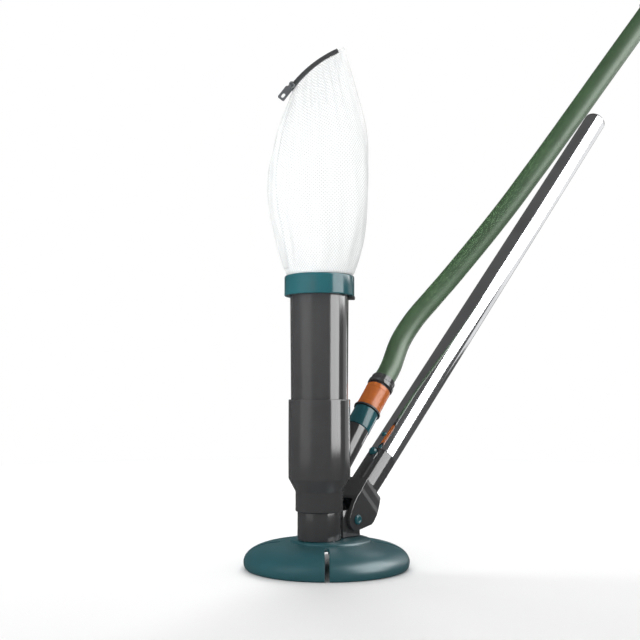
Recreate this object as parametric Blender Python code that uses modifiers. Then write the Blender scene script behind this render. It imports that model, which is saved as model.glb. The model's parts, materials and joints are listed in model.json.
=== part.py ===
"""Pool cleaner: a water-jet suction head with a mesh bag on its riser, a hinged pole and a garden hose.

Everything is modelled about the dome's axis, with the rim's underside at z = 0, and an empty then moves
the whole so that the origin is the centre of the pole's upper end. The pole, its hinge and the hose inlet
lie in one upright plane, turned SWING from +X. "Along" below is the distance from the riser's axis in
that plane, and "across" is at right angles to it. Metres throughout.
"""
import bpy
import bmesh
from math import acos, atan2, cos, degrees, pi, radians, sin, sqrt
from mathutils import Matrix, Vector
from mathutils.geometry import interpolate_bezier

# ---------------------------------------------------------------- clearances
GAP = 0.0003            # between faces that touch
RUN = 0.0003            # round a pin or stem that turns or slides

# ---------------------------------------------------------------- driving dimensions
SWING = radians(46.0)          # direction of the pole's plane
DOME_R = 0.0863                # suction dome, widest
DOME_WIDEST_Z = 0.0070
DOME_CROWN_Z = 0.0268
DOME_WALL = 0.0030
DOME_POWER = 4.3               # fullness of the crown
RIM_INSET = 0.0034             # how far the rim's foot tucks in
PLATEAU_R = 0.0423
PLATEAU_FLAT_R = 0.0370
PLATEAU_TOP = 0.0295
PLATEAU_SINK = 0.0021          # the plateau's foot, below the crown's outside
PLATEAU_EDGE = 0.0012
PLATEAU_SHIFT = 0.0060         # from the dome's axis, along the swing plane
SLOTS = 4
SLOT_WIDTH = 0.0046
SLOT_START_R = 0.0480

RISER_SHIFT = 0.0107           # dome's axis to riser's axis, back along the swing plane
INTAKE_R = 0.0175
NECK_R = 0.0228
SPIGOT_R = 0.0215
SPIGOT_TOP = 0.0780
PIN_ALONG = 0.0370             # riser's axis to hinge pin
PIN_Z = 0.0480
PIN_R = 0.0030
BOSS_END_R = 0.0103
BOSS_HALF = 0.0145
BASE_SCREW_CIRCLE = 0.02015
BASE_SCREW_R = 0.0013
BASE_SCREW_TIP_R = 0.0009
BASE_SCREW_HEAD_R = 0.0027
BASE_SCREW_HEAD_TOP_R = 0.0019
BASE_SCREW_HEAD_H = 0.0018
BASE_SCREW_HEAD_EDGE = 0.0011
BASE_SCREW_REACH = 0.0120      # into the neck

SLEEVE_Z = 0.0586              # foot of the venturi body
SLEEVE_TOP_Z = 0.0788
BARREL_Z = 0.0924              # where the taper reaches full width
BARREL_TOP_Z = 0.1738
SLEEVE_R = 0.0249
BARREL_R = 0.0323
BARREL_BORE_R = 0.0301

RISER_FOOT_Z = 0.1480
RISER_TOP_Z = 0.2950
RISER_TOP_R = 0.0310
RISER_WALL = 0.0022
LUG_HEIGHT = 0.0034
LUG_WIDTH = 0.0090

JET_RING_Z = 0.0965
JET_RING_H = 0.0255
JET_RING_FLANGE = 0.0035
JET_RING_BORE_R = 0.0230
JET_RING_GROOVE_R = 0.0262
JETS = 8
JET_R = 0.0013

FLAP_Z = 0.2350                # underside of the flap's seat
SEAT_H = 0.0025
SEAT_HOLE_R = 0.0208
FLAP_R = 0.0245
FLAP_T = 0.0016
FLAP_HINGE_BACK = 0.0212       # riser's axis to flap hinge
FLAP_HINGE_RISE = 0.0026       # seat's top to hinge axis
KNUCKLE_R = 0.0021
KNUCKLE_HALF = 0.0070
FLAP_PIN_R = 0.0009
SEAT_LUG_T = 0.0026

COLLAR_FIT = 0.0005            # round the riser's top
COLLAR_WALL = 0.0054
COLLAR_UPPER_WALL = 0.0033
COLLAR_Z = 0.2824
COLLAR_TOP_Z = 0.3037
LUG_PROUD = 0.0007             # how far the lug shows past the collar
BAG_RING_WALL = 0.0022
BAG_FOOT_FIT = 0.0007          # round the bag's foot, inside the collar
BAG_RING_FIT = 0.0003          # inside the bag's foot

INLET_TILT = radians(50.0)     # rise of the inlet above the level
INLET_Z = 0.0709               # where the inlet's axis crosses the riser's axis
INLET_R = 0.0133
INLET_BORE_R = 0.0090
INLET_SPIGOT_R = 0.0112
INLET_SPIGOT_L = 0.0130
INLET_START = 0.0200            # inside the body's wall, along the inlet's axis
ADAPTOR_START = 0.0925         # from here on, distances are along the inlet's axis
ADAPTOR_L = 0.0239
ADAPTOR_R = 0.0138
NIPPLE_R = 0.0076
NIPPLE_L = 0.0220
NIPPLE_BORE_R = 0.0050
WASHER_R = 0.0156
WASHER_T = 0.0016
CONNECTOR_R = 0.0122
SLEEVE_LOCK_R = 0.0140         # orange locking sleeve
SLEEVE_LOCK_L = 0.0302
SLEEVE_TRAVEL = 0.0020
NUT_R = 0.0149
NUT_NECK_R = 0.0136
NUT_L = 0.0112
NUT_FLANGE_L = 0.0046
O_RING_R = 0.0009
O_RING_AT = 0.0132             # from the nipple's shoulder

HOSE_R = 0.0119
HOSE_BORE_R = 0.0068
HOSE_STRAIGHT = 0.0200         # out of the nut before its first bend
HOSE_STEP = 0.0280
TAP_R = 0.0150
TAP_L = 0.0440
TAP_BORE_R = 0.0070
TAP_MOUTH_R = 0.0115
TAP_FLOOR = 0.0160             # where the tap's own spigot would stop
TAP_SOCKET = 0.0150            # how deep the hose sits
TAP_LOCK_R = 0.0140

POLE_TILT = radians(43.8)      # rise of the pole above the level
POLE_R = 0.031750 / 2          # standard pool pole
POLE_WALL = 0.0014
POLE_END = 0.7960              # hinge pin to the pole's upper end
SOCKET_R = 0.0160
SOCKET_END = 0.0880            # hinge pin to the socket's mouth
SPIGOT_LENGTH = 0.0420
BRACKET_BORE_R = 0.0115
PLUG_FLANGE_T = 0.0030
PLUG_STEM_L = 0.0140

HINGE_CLEAR_R = 0.0215         # free round the pin between the ears
HOOD_END = 0.0440              # hinge pin to where the hood runs into the socket
HOOD_LOWER = (0.0160, -0.0220)     # the hood's lower corner, (up the pole, out of its upper side)
HOOD_UPPER = (0.0170, 0.0175)
HOOD_FLARE = 0.0200            # full width up to here, then it draws in towards the socket
HOOD_NARROW = 0.0390
BORE_START = 0.0340            # blind end of the bracket's bore
SPIGOT_END = SOCKET_END + SPIGOT_LENGTH
EAR_R = 0.0120
EAR_T = 0.0050
CAP_R = 0.0052
CAP_T = 0.0026

RELEASE_AT = 0.0825            # button places, from the hinge pin
SNAP_AT = 0.1090
RELEASE_R = 0.0046
SNAP_R = 0.0030
RELEASE_OUT = 0.0205
SNAP_OUT = 0.0182
BUTTON_FOOT = 0.0080
BUTTON_FLANGE_T = 0.0013
BUTTON_FLANGE_R = 0.0054
TONGUE_HALF = 0.0062
TONGUE_SLIT = 0.0010
TONGUE_L = 0.0100
TONGUE_ROOT = 0.0092           # the slits start this far out of the pole's axis
CLIP_T = 0.0008
CLIP_BEND_AT = 0.0460
CLIP_LEG_OUT = 0.0103
CLIP_HEAD_T = 0.0018
CLIP_HALF_W = 0.0035
CLIP_SCREW_AT = 0.0760
CLIP_SCREW_R = 0.0015
CLIP_BOSS_R = 0.0043
CLIP_BOSS_OUT = 0.0187
CLIP_HEAD_R = 0.0027

BAG_WALL = 0.0012
BAG_FOOT_Z = 0.2962
BAG_LOW_END = (-0.0290, 0.5040)    # ends of the bag's closed edge, (x, z) from the riser's axis
BAG_TIP = (0.0260, 0.5480)
BAG_SHOULDER_Z = 0.3085
BAG_SHOULDER = (0.0033, 0.0046, 0.0021)    # there, past the foot: to the left, to the right, in depth
BAG_LEFT = [(-0.0445, 0.3420), (-0.0525, 0.3740), (-0.0545, 0.4050),
            (-0.0510, 0.4340), (-0.0430, 0.4650)]      # between the shoulder and the closed edge
BAG_RIGHT = [(0.0465, 0.3420), (0.0515, 0.3760), (0.0530, 0.4130),
             (0.0508, 0.4560), (0.0400, 0.5020)]
BAG_DEPTH = [0.0405, 0.0430, 0.0400, 0.0310, 0.0170]    # half thickness at the same places
BAG_EDGE_BULGE = 0.0050
BAG_EDGE_HALF = 0.0018
BAG_SIDES = 28
ZIP_WIDTH = 0.0052
ZIP_HALF_T = 0.0020
ZIP_TIP_GAP = 0.0050           # the zip stops this far short of the bag's tip
SLIDER_L = 0.0070
SLIDER_WALL = 0.0009
PULL_L = 0.0205
PULL_W = 0.0082
PULL_T = 0.0016
PULL_HOLE_R = 0.0016
PULL_BAR_R = 0.0008
PULL_KNUCKLE_R = 0.0020
PULL_KNUCKLE_HALF = 0.0018
PULL_LUG_T = 0.0010
ZIP_GRIP = 0.0012              # tape left bare under the slider
PULL_NECK_L = 0.0035           # bar to where the tag widens
PULL_SLOT_NEAR = 0.0145
PULL_SLOT_FAR = 0.0167

# ---------------------------------------------------------------- sizes worked out from those
ALONG = Vector((cos(SWING), sin(SWING), 0.0))
RISER_AXIS = -RISER_SHIFT * ALONG
PIN_CENTRE = RISER_AXIS + PIN_ALONG * ALONG + Vector((0, 0, PIN_Z))
POLE_DIRECTION = cos(POLE_TILT) * ALONG + Vector((0, 0, sin(POLE_TILT)))
POLE_TOP = PIN_CENTRE + POLE_END * POLE_DIRECTION
NECK_FOOT_Z = PLATEAU_TOP + GAP
RISER_FOOT_R = BARREL_BORE_R - GAP
COLLAR_BORE_R = RISER_TOP_R + COLLAR_FIT
COLLAR_R = COLLAR_BORE_R + COLLAR_WALL
COLLAR_UPPER_BORE_R = COLLAR_R - COLLAR_UPPER_WALL
LUG_OUT_R = COLLAR_R + LUG_PROUD
BAG_FOOT_R = COLLAR_UPPER_BORE_R - BAG_FOOT_FIT
BAG_RING_R = BAG_FOOT_R - BAG_WALL - BAG_RING_FIT
EAR_IN = BOSS_HALF + GAP
EAR_OUT = EAR_IN + EAR_T
WASHER_START = ADAPTOR_START + ADAPTOR_L + GAP
LOCK_START = WASHER_START + WASHER_T + GAP
LOCK_END = LOCK_START + SLEEVE_LOCK_L
NUT_START = LOCK_END + SLEEVE_TRAVEL + GAP
NUT_END = NUT_START + NUT_L
PLUG_START = POLE_END - PLUG_FLANGE_T


# ---------------------------------------------------------------- scene and helpers
for old in list(bpy.data.objects):
    bpy.data.objects.remove(old, do_unlink=True)

parts = bpy.data.collections.new("pool_cleaner")
cutters = bpy.data.collections.new("cutters")
for group in (parts, cutters):
    bpy.context.scene.collection.children.link(group)


def material(name, colour, roughness, metallic=0.0, alpha=1.0):
    made = bpy.data.materials.new(name)
    made.use_nodes = True
    shader = made.node_tree.nodes["Principled BSDF"]
    shader.inputs["Base Color"].default_value = (*colour, 1.0)
    shader.inputs["Roughness"].default_value = roughness
    shader.inputs["Metallic"].default_value = metallic
    shader.inputs["Alpha"].default_value = alpha
    return made


TEAL = material("teal_plastic", (0.030, 0.130, 0.150), 0.38)
GREY = material("grey_plastic", (0.070, 0.070, 0.070), 0.36)
BLACK = material("black_rubber", (0.015, 0.016, 0.018), 0.60)
ORANGE = material("orange_plastic", (0.620, 0.165, 0.020), 0.42)
ALUMINIUM = material("pole_aluminium", (0.800, 0.810, 0.820), 0.16, metallic=1.0)
STEEL = material("stainless_steel", (0.550, 0.560, 0.570), 0.25, metallic=1.0)
HOSE = material("hose_green", (0.050, 0.110, 0.055), 0.48)
MESH = material("bag_mesh", (0.860, 0.870, 0.870), 0.80, alpha=0.55)


def empty(name, parent, place=(0, 0, 0), turn=(0, 0, 0)):
    made = bpy.data.objects.new(name, None)
    parts.objects.link(made)
    made.parent = parent
    made.location = place
    made.rotation_euler = turn
    return made


FRAME = empty("frame", None, -POLE_TOP)
DOME_AXIS = empty("dome_axis", FRAME)
RISER = empty("riser_axis", FRAME, RISER_AXIS)
PIN = empty("pin_plane", FRAME, PIN_CENTRE, (pi / 2, 0, SWING))            # x along, y up, z across
POLE = empty("pole_axis", FRAME, PIN_CENTRE, (0, pi / 2 - POLE_TILT, SWING))   # z up the pole, -x its top
PLANE = empty("pole_plane", PIN, (0, 0, 0), (0, 0, POLE_TILT))                 # x up the pole, z across
PLAN = empty("pole_plan", PLANE, (0, 0, 0), (pi / 2, 0, 0))                    # x up the pole, y across
BUTTON_LIFT = (0, -pi / 2, 0)                       # z out of the pole's upper side
RELEASE = empty("release_axis", POLE, (0, 0, RELEASE_AT), BUTTON_LIFT)
SNAP = empty("snap_axis", POLE, (0, 0, SNAP_AT), BUTTON_LIFT)
CLIP_SCREW = empty("clip_screw_axis", POLE, (0, 0, CLIP_SCREW_AT), (0, pi / 2, 0))
INLET = empty("inlet_axis", FRAME, RISER_AXIS + Vector((0, 0, INLET_Z)), (0, pi / 2 - INLET_TILT, SWING))
FLAP_HINGE = empty("flap_hinge", RISER, -FLAP_HINGE_BACK * ALONG
                   + Vector((0, 0, FLAP_Z + SEAT_H + FLAP_HINGE_RISE)), (0, 0, SWING + pi))
BAG_PLANE = empty("bag_plane", RISER, (0, 0, 0), (pi / 2, 0, 0))               # x right, y up


def add(name, mesh, parent, finish, group=parts):
    made = bpy.data.objects.new(name, mesh)
    group.objects.link(made)
    made.parent = parent
    if finish:
        mesh.materials.append(finish)
        mesh.shade_smooth()
        mesh.set_sharp_from_angle(angle=radians(32))
    else:
        made.hide_render = True
        made.display_type = "WIRE"
    return made


def turned(name, profile, parent, finish=None, steps=48, closed=True, group=None):
    """A profile of (radius, height) turned about z; it runs down its outer side and back up its inner one."""
    mesh = bpy.data.meshes.new(name)
    count = len(profile)
    edges = [(i, (i + 1) % count) for i in range(count if closed else count - 1)]
    mesh.from_pydata([(r, 0, z) for r, z in profile], edges, [])
    made = add(name, mesh, parent, finish, group or (parts if finish else cutters))
    turn = made.modifiers.new("turn", "SCREW")
    turn.steps = turn.render_steps = steps
    turn.use_merge_vertices = True
    turn.merge_threshold = 0.00001
    turn.use_smooth_shade = False
    return made


def cylinder(name, radius, low, high, parent, finish=None, steps=24, axis="Z", centre=(0, 0, 0)):
    """A closed cylinder from low to high along one axis of its parent."""
    mesh = bpy.data.meshes.new(name)
    shape = bmesh.new()
    bmesh.ops.create_cone(shape, cap_ends=True, segments=steps, radius1=radius, radius2=radius,
                          depth=high - low)
    bmesh.ops.translate(shape, verts=shape.verts, vec=(0, 0, (high + low) / 2))
    turn = {"Z": Matrix(), "X": Matrix.Rotation(pi / 2, 4, "Y"), "Y": Matrix.Rotation(-pi / 2, 4, "X")}[axis]
    bmesh.ops.transform(shape, matrix=Matrix.Translation(centre) @ turn, verts=shape.verts)
    shape.to_mesh(mesh)
    shape.free()
    return add(name, mesh, parent, finish, parts if finish else cutters)


def block(name, low, high, parent, finish=None, turn=0.0):
    """A box between two corners, then turned about its parent's z."""
    mesh = bpy.data.meshes.new(name)
    shape = bmesh.new()
    bmesh.ops.create_cube(shape, size=1.0)
    low, high = Vector(low), Vector(high)
    bmesh.ops.scale(shape, vec=high - low, verts=shape.verts)
    bmesh.ops.translate(shape, vec=(high + low) / 2, verts=shape.verts)
    bmesh.ops.rotate(shape, matrix=Matrix.Rotation(turn, 3, "Z"), verts=shape.verts)
    shape.to_mesh(mesh)
    shape.free()
    return add(name, mesh, parent, finish, parts if finish else cutters)


def plate(name, outline, low, high, parent, finish=None):
    """A flat outline in its parent's xy plane, filled and thickened from low to high along z."""
    curve = bpy.data.curves.new(name, "CURVE")
    curve.dimensions = "2D"
    curve.fill_mode = "BOTH"
    curve.extrude = (high - low) / 2
    spline = curve.splines.new("POLY")
    spline.points.add(len(outline) - 1)
    for point, (x, y) in zip(spline.points, outline):
        point.co = (x, y, 0, 1)
    spline.use_cyclic_u = True
    guide = bpy.data.objects.new(name + "_outline", curve)
    cutters.objects.link(guide)
    mesh = solid_mesh(guide, name)
    mesh.transform(Matrix.Translation((0, 0, (high + low) / 2)))
    return add(name, mesh, parent, finish, parts if finish else cutters)


def solid_mesh(guide, name):
    """The curve object as one welded mesh with its faces outwards; the curve is removed."""
    bpy.context.view_layer.update()
    graph = bpy.context.evaluated_depsgraph_get()
    mesh = bpy.data.meshes.new_from_object(guide.evaluated_get(graph))
    mesh.name = name
    shape = bmesh.new()
    shape.from_mesh(mesh)
    bmesh.ops.remove_doubles(shape, verts=shape.verts, dist=0.00001)
    bmesh.ops.recalc_face_normals(shape, faces=shape.faces)
    shape.to_mesh(mesh)
    shape.free()
    bpy.data.objects.remove(guide, do_unlink=True)
    return mesh


def combine(target, other, operation="DIFFERENCE"):
    """Cuts other from target, or joins it to target."""
    step = target.modifiers.new(operation.lower(), "BOOLEAN")
    step.operation = operation
    step.object = other
    return target


def arc(centre, radius, start, end, steps):
    """Points on an arc, angles in degrees, both ends included."""
    angles = [radians(start + (end - start) * i / steps) for i in range(steps + 1)]
    return [(centre[0] + radius * cos(a), centre[1] + radius * sin(a)) for a in angles]


# ---------------------------------------------------------------- suction dome and neck
def crown(radius, widest, wide_z, top_z, count=9):
    """The crown's curve from its top to its widest point, closer together where it turns down."""
    points = []
    for i in range(count):
        r = widest * sin(pi / 2 * i / (count - 1)) if i < count - 1 else widest
        if r >= radius:
            points.append((r, wide_z + (top_z - wide_z) * sqrt(max(0.0, 1 - (r / widest) ** DOME_POWER))))
    return points


def make_suction_head():
    outer = crown(0.0, DOME_R, DOME_WIDEST_Z, DOME_CROWN_Z)
    foot_r = DOME_R - RIM_INSET
    foot = [(foot_r + RIM_INSET * cos(a), DOME_WIDEST_Z * (1 - sin(a))) for a in (radians(30), radians(60))]
    foot.append((foot_r, 0.0))
    inner = crown(0.0, DOME_R - DOME_WALL, DOME_WIDEST_Z, DOME_CROWN_Z - DOME_WALL)
    inner.reverse()
    profile = outer + foot + [(foot_r - DOME_WALL, 0.0)] + inner
    head = turned("suction_head", profile, DOME_AXIS, TEAL, 48, False)
    plateau = turned("plateau", [
        (0.0, PLATEAU_TOP), (PLATEAU_FLAT_R, PLATEAU_TOP), (PLATEAU_R - PLATEAU_EDGE, PLATEAU_TOP - 0.0008),
        (PLATEAU_R, PLATEAU_TOP - 0.0022), (PLATEAU_R, DOME_CROWN_Z - PLATEAU_SINK),
        (0.0, DOME_CROWN_Z - PLATEAU_SINK)], DOME_AXIS, None, 36, False)
    plateau.location = PLATEAU_SHIFT * ALONG
    combine(head, plateau, "UNION")
    combine(head, cylinder("intake_cut", INTAKE_R, 0.0, 0.06, RISER, None, 32))
    for i in range(SLOTS):
        turn = i * 2 * pi / SLOTS
        combine(head, block(f"slot_cut_{i}", (SLOT_START_R, -SLOT_WIDTH / 2, -0.01),
                            (DOME_R + 0.01, SLOT_WIDTH / 2, PLATEAU_TOP + 0.01), DOME_AXIS, None, turn))
    for i, place in enumerate(base_screw_places()):
        combine(head, cylinder(f"screw_way_{i}", BASE_SCREW_R + RUN, 0.0, 0.06, RISER, None, 8, "Z", place))
    return head


def base_screw_places():
    """Three places in the neck's wall, away from the hinge boss."""
    return [(BASE_SCREW_CIRCLE * cos(SWING + a), BASE_SCREW_CIRCLE * sin(SWING + a), 0)
            for a in (radians(90), radians(180), radians(270))]


def make_base_screws():
    ceiling = DOME_CROWN_Z - DOME_WALL
    for i, place in enumerate(base_screw_places()):
        under = ceiling - GAP - 0.0006
        top = NECK_FOOT_Z + BASE_SCREW_REACH - 0.001
        end = under - BASE_SCREW_HEAD_H
        profile = [(0.0, top), (BASE_SCREW_TIP_R, top), (BASE_SCREW_R, top - 0.001), (BASE_SCREW_R, under),
                   (BASE_SCREW_HEAD_R, under), (BASE_SCREW_HEAD_R, under - BASE_SCREW_HEAD_EDGE),
                   (BASE_SCREW_HEAD_TOP_R, end), (0.0, end)]
        screw = turned(f"base_screw_{i + 1}", profile, RISER, STEEL, 10, False)
        screw.location = place


def make_neck_block():
    neck = turned("neck_block", [
        (SPIGOT_R, SPIGOT_TOP), (SPIGOT_R, SLEEVE_Z - GAP), (NECK_R, SLEEVE_Z - GAP), (NECK_R, NECK_FOOT_Z),
        (INTAKE_R, NECK_FOOT_Z), (INTAKE_R, SPIGOT_TOP)], RISER, GREY, 32)
    foot = NECK_FOOT_Z - PIN_Z
    inside = -PIN_ALONG + (NECK_R + INTAKE_R) / 2
    nose = arc((0, 0), BOSS_END_R, 0, 90, 8)
    outline = [(inside, foot), (BOSS_END_R, foot)] + nose + [(inside, BOSS_END_R)]
    boss = plate("hinge_boss", outline, -BOSS_HALF, BOSS_HALF, PIN)
    combine(neck, boss, "UNION")
    combine(neck, cylinder("neck_bore", INTAKE_R, 0.0, 0.2, RISER, None, 32))
    combine(neck, cylinder("pin_way", PIN_R + GAP, -0.05, 0.05, PIN, None, 20))
    for i, place in enumerate(base_screw_places()):
        combine(neck, cylinder(f"screw_hole_{i}", BASE_SCREW_R + RUN, 0.0, NECK_FOOT_Z + BASE_SCREW_REACH,
                               RISER, None, 8, "Z", place))
    return neck


# ---------------------------------------------------------------- venturi body, riser, flap
def body_outline(grow=0.0):
    return [(BARREL_R + grow, BARREL_TOP_Z), (BARREL_R + grow, BARREL_Z),
            (SLEEVE_R + grow, SLEEVE_TOP_Z), (SLEEVE_R + grow, SLEEVE_Z)]


def make_venturi_body():
    bore = SPIGOT_R + GAP
    inner = [(bore, SLEEVE_Z), (bore, SLEEVE_TOP_Z + 0.0016), (BARREL_BORE_R, BARREL_Z + 0.0022),
             (BARREL_BORE_R, BARREL_TOP_Z)]
    body = turned("venturi_body", body_outline() + inner, RISER, GREY, 40)
    combine(body, cylinder("inlet_way", INLET_BORE_R, INLET_START, ADAPTOR_START, INLET, None, 24))
    return body


def make_jet_ring():
    outer = BARREL_BORE_R - GAP
    low, top = JET_RING_Z, JET_RING_Z + JET_RING_H
    ring = turned("jet_ring", [
        (outer, top), (outer, top - JET_RING_FLANGE), (JET_RING_GROOVE_R, top - JET_RING_FLANGE),
        (JET_RING_GROOVE_R, low + JET_RING_FLANGE), (outer, low + JET_RING_FLANGE), (outer, low),
        (JET_RING_BORE_R, low), (JET_RING_BORE_R, top)], RISER, GREY, 32)
    for i in range(JETS):
        turn = (i + 0.5) * 2 * pi / JETS
        middle = (JET_RING_GROOVE_R + outer) / 2
        place = (middle * cos(turn), middle * sin(turn), 0)
        combine(ring, cylinder(f"jet_{i}", JET_R, top - JET_RING_FLANGE - 0.001, top + 0.01, RISER, None, 6,
                               "Z", place))
    return ring


def riser_bore(z):
    """Inner radius of the riser at a height."""
    share = (z - BARREL_TOP_Z) / (RISER_TOP_Z - BARREL_TOP_Z)
    return RISER_FOOT_R - RISER_WALL + max(0.0, share) * (RISER_TOP_R - RISER_FOOT_R)


def make_riser_tube():
    riser = turned("riser_tube", [
        (RISER_TOP_R, RISER_TOP_Z), (RISER_FOOT_R, BARREL_TOP_Z), (RISER_FOOT_R, RISER_FOOT_Z),
        (RISER_FOOT_R - RISER_WALL, RISER_FOOT_Z), (RISER_FOOT_R - RISER_WALL, BARREL_TOP_Z),
        (RISER_TOP_R - RISER_WALL, RISER_TOP_Z)], RISER, GREY, 40)
    lug_top = COLLAR_Z - GAP
    combine(riser, block("collar_lug", (RISER_TOP_R - RISER_WALL / 2, -LUG_WIDTH / 2, lug_top - LUG_HEIGHT),
                         (LUG_OUT_R, LUG_WIDTH / 2, lug_top), RISER), "UNION")
    return riser


def make_flap():
    """The seat with its two lugs, the flap with its knuckle, and the pin."""
    outer = riser_bore(FLAP_Z) - GAP
    top = FLAP_Z + SEAT_H
    seat = turned("flap_seat", [(outer, top), (outer, FLAP_Z), (SEAT_HOLE_R, FLAP_Z), (SEAT_HOLE_R, top)],
                  RISER, GREY, 28)
    near = KNUCKLE_HALF + RUN
    reach = near + SEAT_LUG_T
    for side, name in ((-1, "lug_left"), (1, "lug_right")):
        low, high = sorted((side * near, side * reach))
        combine(seat, block(name, (-KNUCKLE_R, low, -FLAP_HINGE_RISE - 0.001), (KNUCKLE_R, high, KNUCKLE_R),
                            FLAP_HINGE), "UNION")
    half = degrees(acos(FLAP_HINGE_BACK / FLAP_R))
    outline = arc((-FLAP_HINGE_BACK, 0), FLAP_R, half, 360 - half, 24)
    under = GAP - FLAP_HINGE_RISE
    flap = plate("non_return_flap", outline, under, under + FLAP_T, FLAP_HINGE, BLACK)
    way = cylinder("flap_pin_way", FLAP_PIN_R + RUN, -0.03, 0.03, FLAP_HINGE, None, 12, "Y")
    knuckle = cylinder("flap_knuckle", KNUCKLE_R, -KNUCKLE_HALF, KNUCKLE_HALF, FLAP_HINGE, None, 16, "Y")
    cylinder("flap_pin", FLAP_PIN_R, -reach, reach, FLAP_HINGE, STEEL, 12, "Y")
    combine(flap, knuckle, "UNION")
    combine(flap, way)
    combine(seat, way)
    clear = KNUCKLE_R * sqrt(2) + RUN
    for side, name in ((-1, "notch_left"), (1, "notch_right")):
        low, high = sorted((side * (near - GAP / 2), side * (FLAP_R + GAP)))
        combine(flap, block(name, (-clear, low, -0.01), (0.01, high, 0.01), FLAP_HINGE))


# ---------------------------------------------------------------- inlet and hose connector
def make_inlet():
    pipe_end = ADAPTOR_START - GAP
    pipe = turned("inlet_pipe", [
        (INLET_SPIGOT_R, pipe_end + INLET_SPIGOT_L), (INLET_SPIGOT_R, pipe_end), (INLET_R, pipe_end),
        (INLET_R, INLET_START), (INLET_BORE_R, INLET_START), (INLET_BORE_R, pipe_end + INLET_SPIGOT_L)],
        INLET, GREY, 24)
    combine(pipe, turned("body_seat", [(0, BARREL_TOP_Z)] + body_outline(GAP) + [(0, SLEEVE_Z)], RISER,
                         None, 40, False))
    start, shoulder = ADAPTOR_START, ADAPTOR_START + ADAPTOR_L
    socket_r = INLET_SPIGOT_R + GAP
    socket_end = start + INLET_SPIGOT_L + GAP
    turned("hose_adaptor", [
        (NIPPLE_R, shoulder + NIPPLE_L), (NIPPLE_R, shoulder), (ADAPTOR_R, shoulder), (ADAPTOR_R, start),
        (socket_r, start), (socket_r, socket_end), (NIPPLE_BORE_R, socket_end + 0.003),
        (NIPPLE_BORE_R, shoulder + NIPPLE_L)], INLET, TEAL, 24)
    bore = NIPPLE_R + GAP
    turned("adaptor_washer", [(WASHER_R, WASHER_START + WASHER_T), (WASHER_R, WASHER_START),
                              (bore, WASHER_START), (bore, WASHER_START + WASHER_T)], INLET, BLACK, 20)
    groove = shoulder + O_RING_AT
    groove_r = bore + 2 * O_RING_R + GAP
    half = O_RING_R + GAP
    end = shoulder + NIPPLE_L + GAP
    tip = NUT_END - 0.0020
    turned("connector_body", [
        (CONNECTOR_R, tip), (CONNECTOR_R, LOCK_START), (bore, LOCK_START), (bore, groove - half),
        (groove_r, groove - half), (groove_r, groove + half), (bore, groove + half), (bore, end),
        (NIPPLE_BORE_R, end + 0.001), (NIPPLE_BORE_R, tip)], INLET, GREY, 24)
    turned("connector_o_ring", [(bore + O_RING_R * (1 + cos(a)), groove - O_RING_R * sin(a))
                                for a in [i * pi / 3 for i in range(6)]], INLET, BLACK, 20)
    lock_bore = CONNECTOR_R + RUN
    edge_r = SLEEVE_LOCK_R - 0.0006
    turned("connector_sleeve", [
        (edge_r, LOCK_END), (SLEEVE_LOCK_R, LOCK_END - 0.0008), (SLEEVE_LOCK_R, LOCK_START + 0.0008),
        (edge_r, LOCK_START), (lock_bore, LOCK_START), (lock_bore, LOCK_END)], INLET, ORANGE, 24)
    turned("hose_nut", [
        (NUT_NECK_R, NUT_END), (NUT_NECK_R, NUT_START + NUT_FLANGE_L + 0.001),
        (NUT_R, NUT_START + NUT_FLANGE_L), (NUT_R, NUT_START), (lock_bore, NUT_START),
        (lock_bore, NUT_END - 0.0018),
        (HOSE_BORE_R, NUT_END - 0.0018), (HOSE_BORE_R, NUT_END)], INLET, GREY, 24)


# ---------------------------------------------------------------- hose and its tap connector
# The hose's route, chosen by hand: (x, y, z) from the dome's axis, after its straight start in the nut.
HOSE_ROUTE = [
    (0.0860, 0.0905, 0.2400), (0.1027, 0.0975, 0.2657), (0.1231, 0.1015, 0.2895), (0.1440, 0.1035, 0.3133),
    (0.1640, 0.1040, 0.3371), (0.1837, 0.1040, 0.3609), (0.2027, 0.1035, 0.3846), (0.2213, 0.1030, 0.4085),
    (0.2390, 0.1025, 0.4324), (0.2568, 0.1020, 0.4563), (0.2743, 0.1015, 0.4803), (0.2917, 0.1010, 0.5044),
    (0.3092, 0.1005, 0.5286), (0.3266, 0.1000, 0.5528), (0.3441, 0.0995, 0.5770), (0.3617, 0.0990, 0.6013),
    (0.3795, 0.0985, 0.6257), (0.3968, 0.0980, 0.6502),
]


def smooth_points(route, step):
    """Points read about every step from a smooth curve through the route."""
    ends = [route[0] * 2 - route[1]] + route + [route[-1] * 2 - route[-2]]
    points = []
    for before, start, end, after in zip(ends, ends[1:], ends[2:], ends[3:]):
        count = max(1, round((end - start).length / step))
        leave, arrive = start + (end - before) / 6, end - (after - start) / 6
        points += interpolate_bezier(start, leave, arrive, end, count + 1)[:-1]
    return points + [route[-1]]


def make_hose():
    inlet_way = cos(INLET_TILT) * ALONG + Vector((0, 0, sin(INLET_TILT)))
    start = RISER_AXIS + Vector((0, 0, INLET_Z)) + (NUT_END + GAP) * inlet_way
    route = [start, start + HOSE_STRAIGHT * inlet_way] + [Vector(point) for point in HOSE_ROUTE]
    points = smooth_points(route, HOSE_STEP)
    curve = bpy.data.curves.new("hose", "CURVE")
    curve.dimensions = "3D"
    curve.bevel_depth = HOSE_R
    curve.bevel_resolution = 3
    curve.use_fill_caps = True
    spline = curve.splines.new("POLY")
    spline.points.add(len(points) - 1)
    for point, place in zip(spline.points, points):
        point.co = (*place, 1)
    curve.materials.append(HOSE)
    hose = bpy.data.objects.new("hose", curve)
    parts.objects.link(hose)
    hose.parent = FRAME
    direction = (points[-1] - points[-2]).normalized()
    tap = empty("tap_axis", FRAME, points[-1], direction.to_track_quat("Z", "Y").to_euler())
    make_tap_connector(tap)


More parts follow.
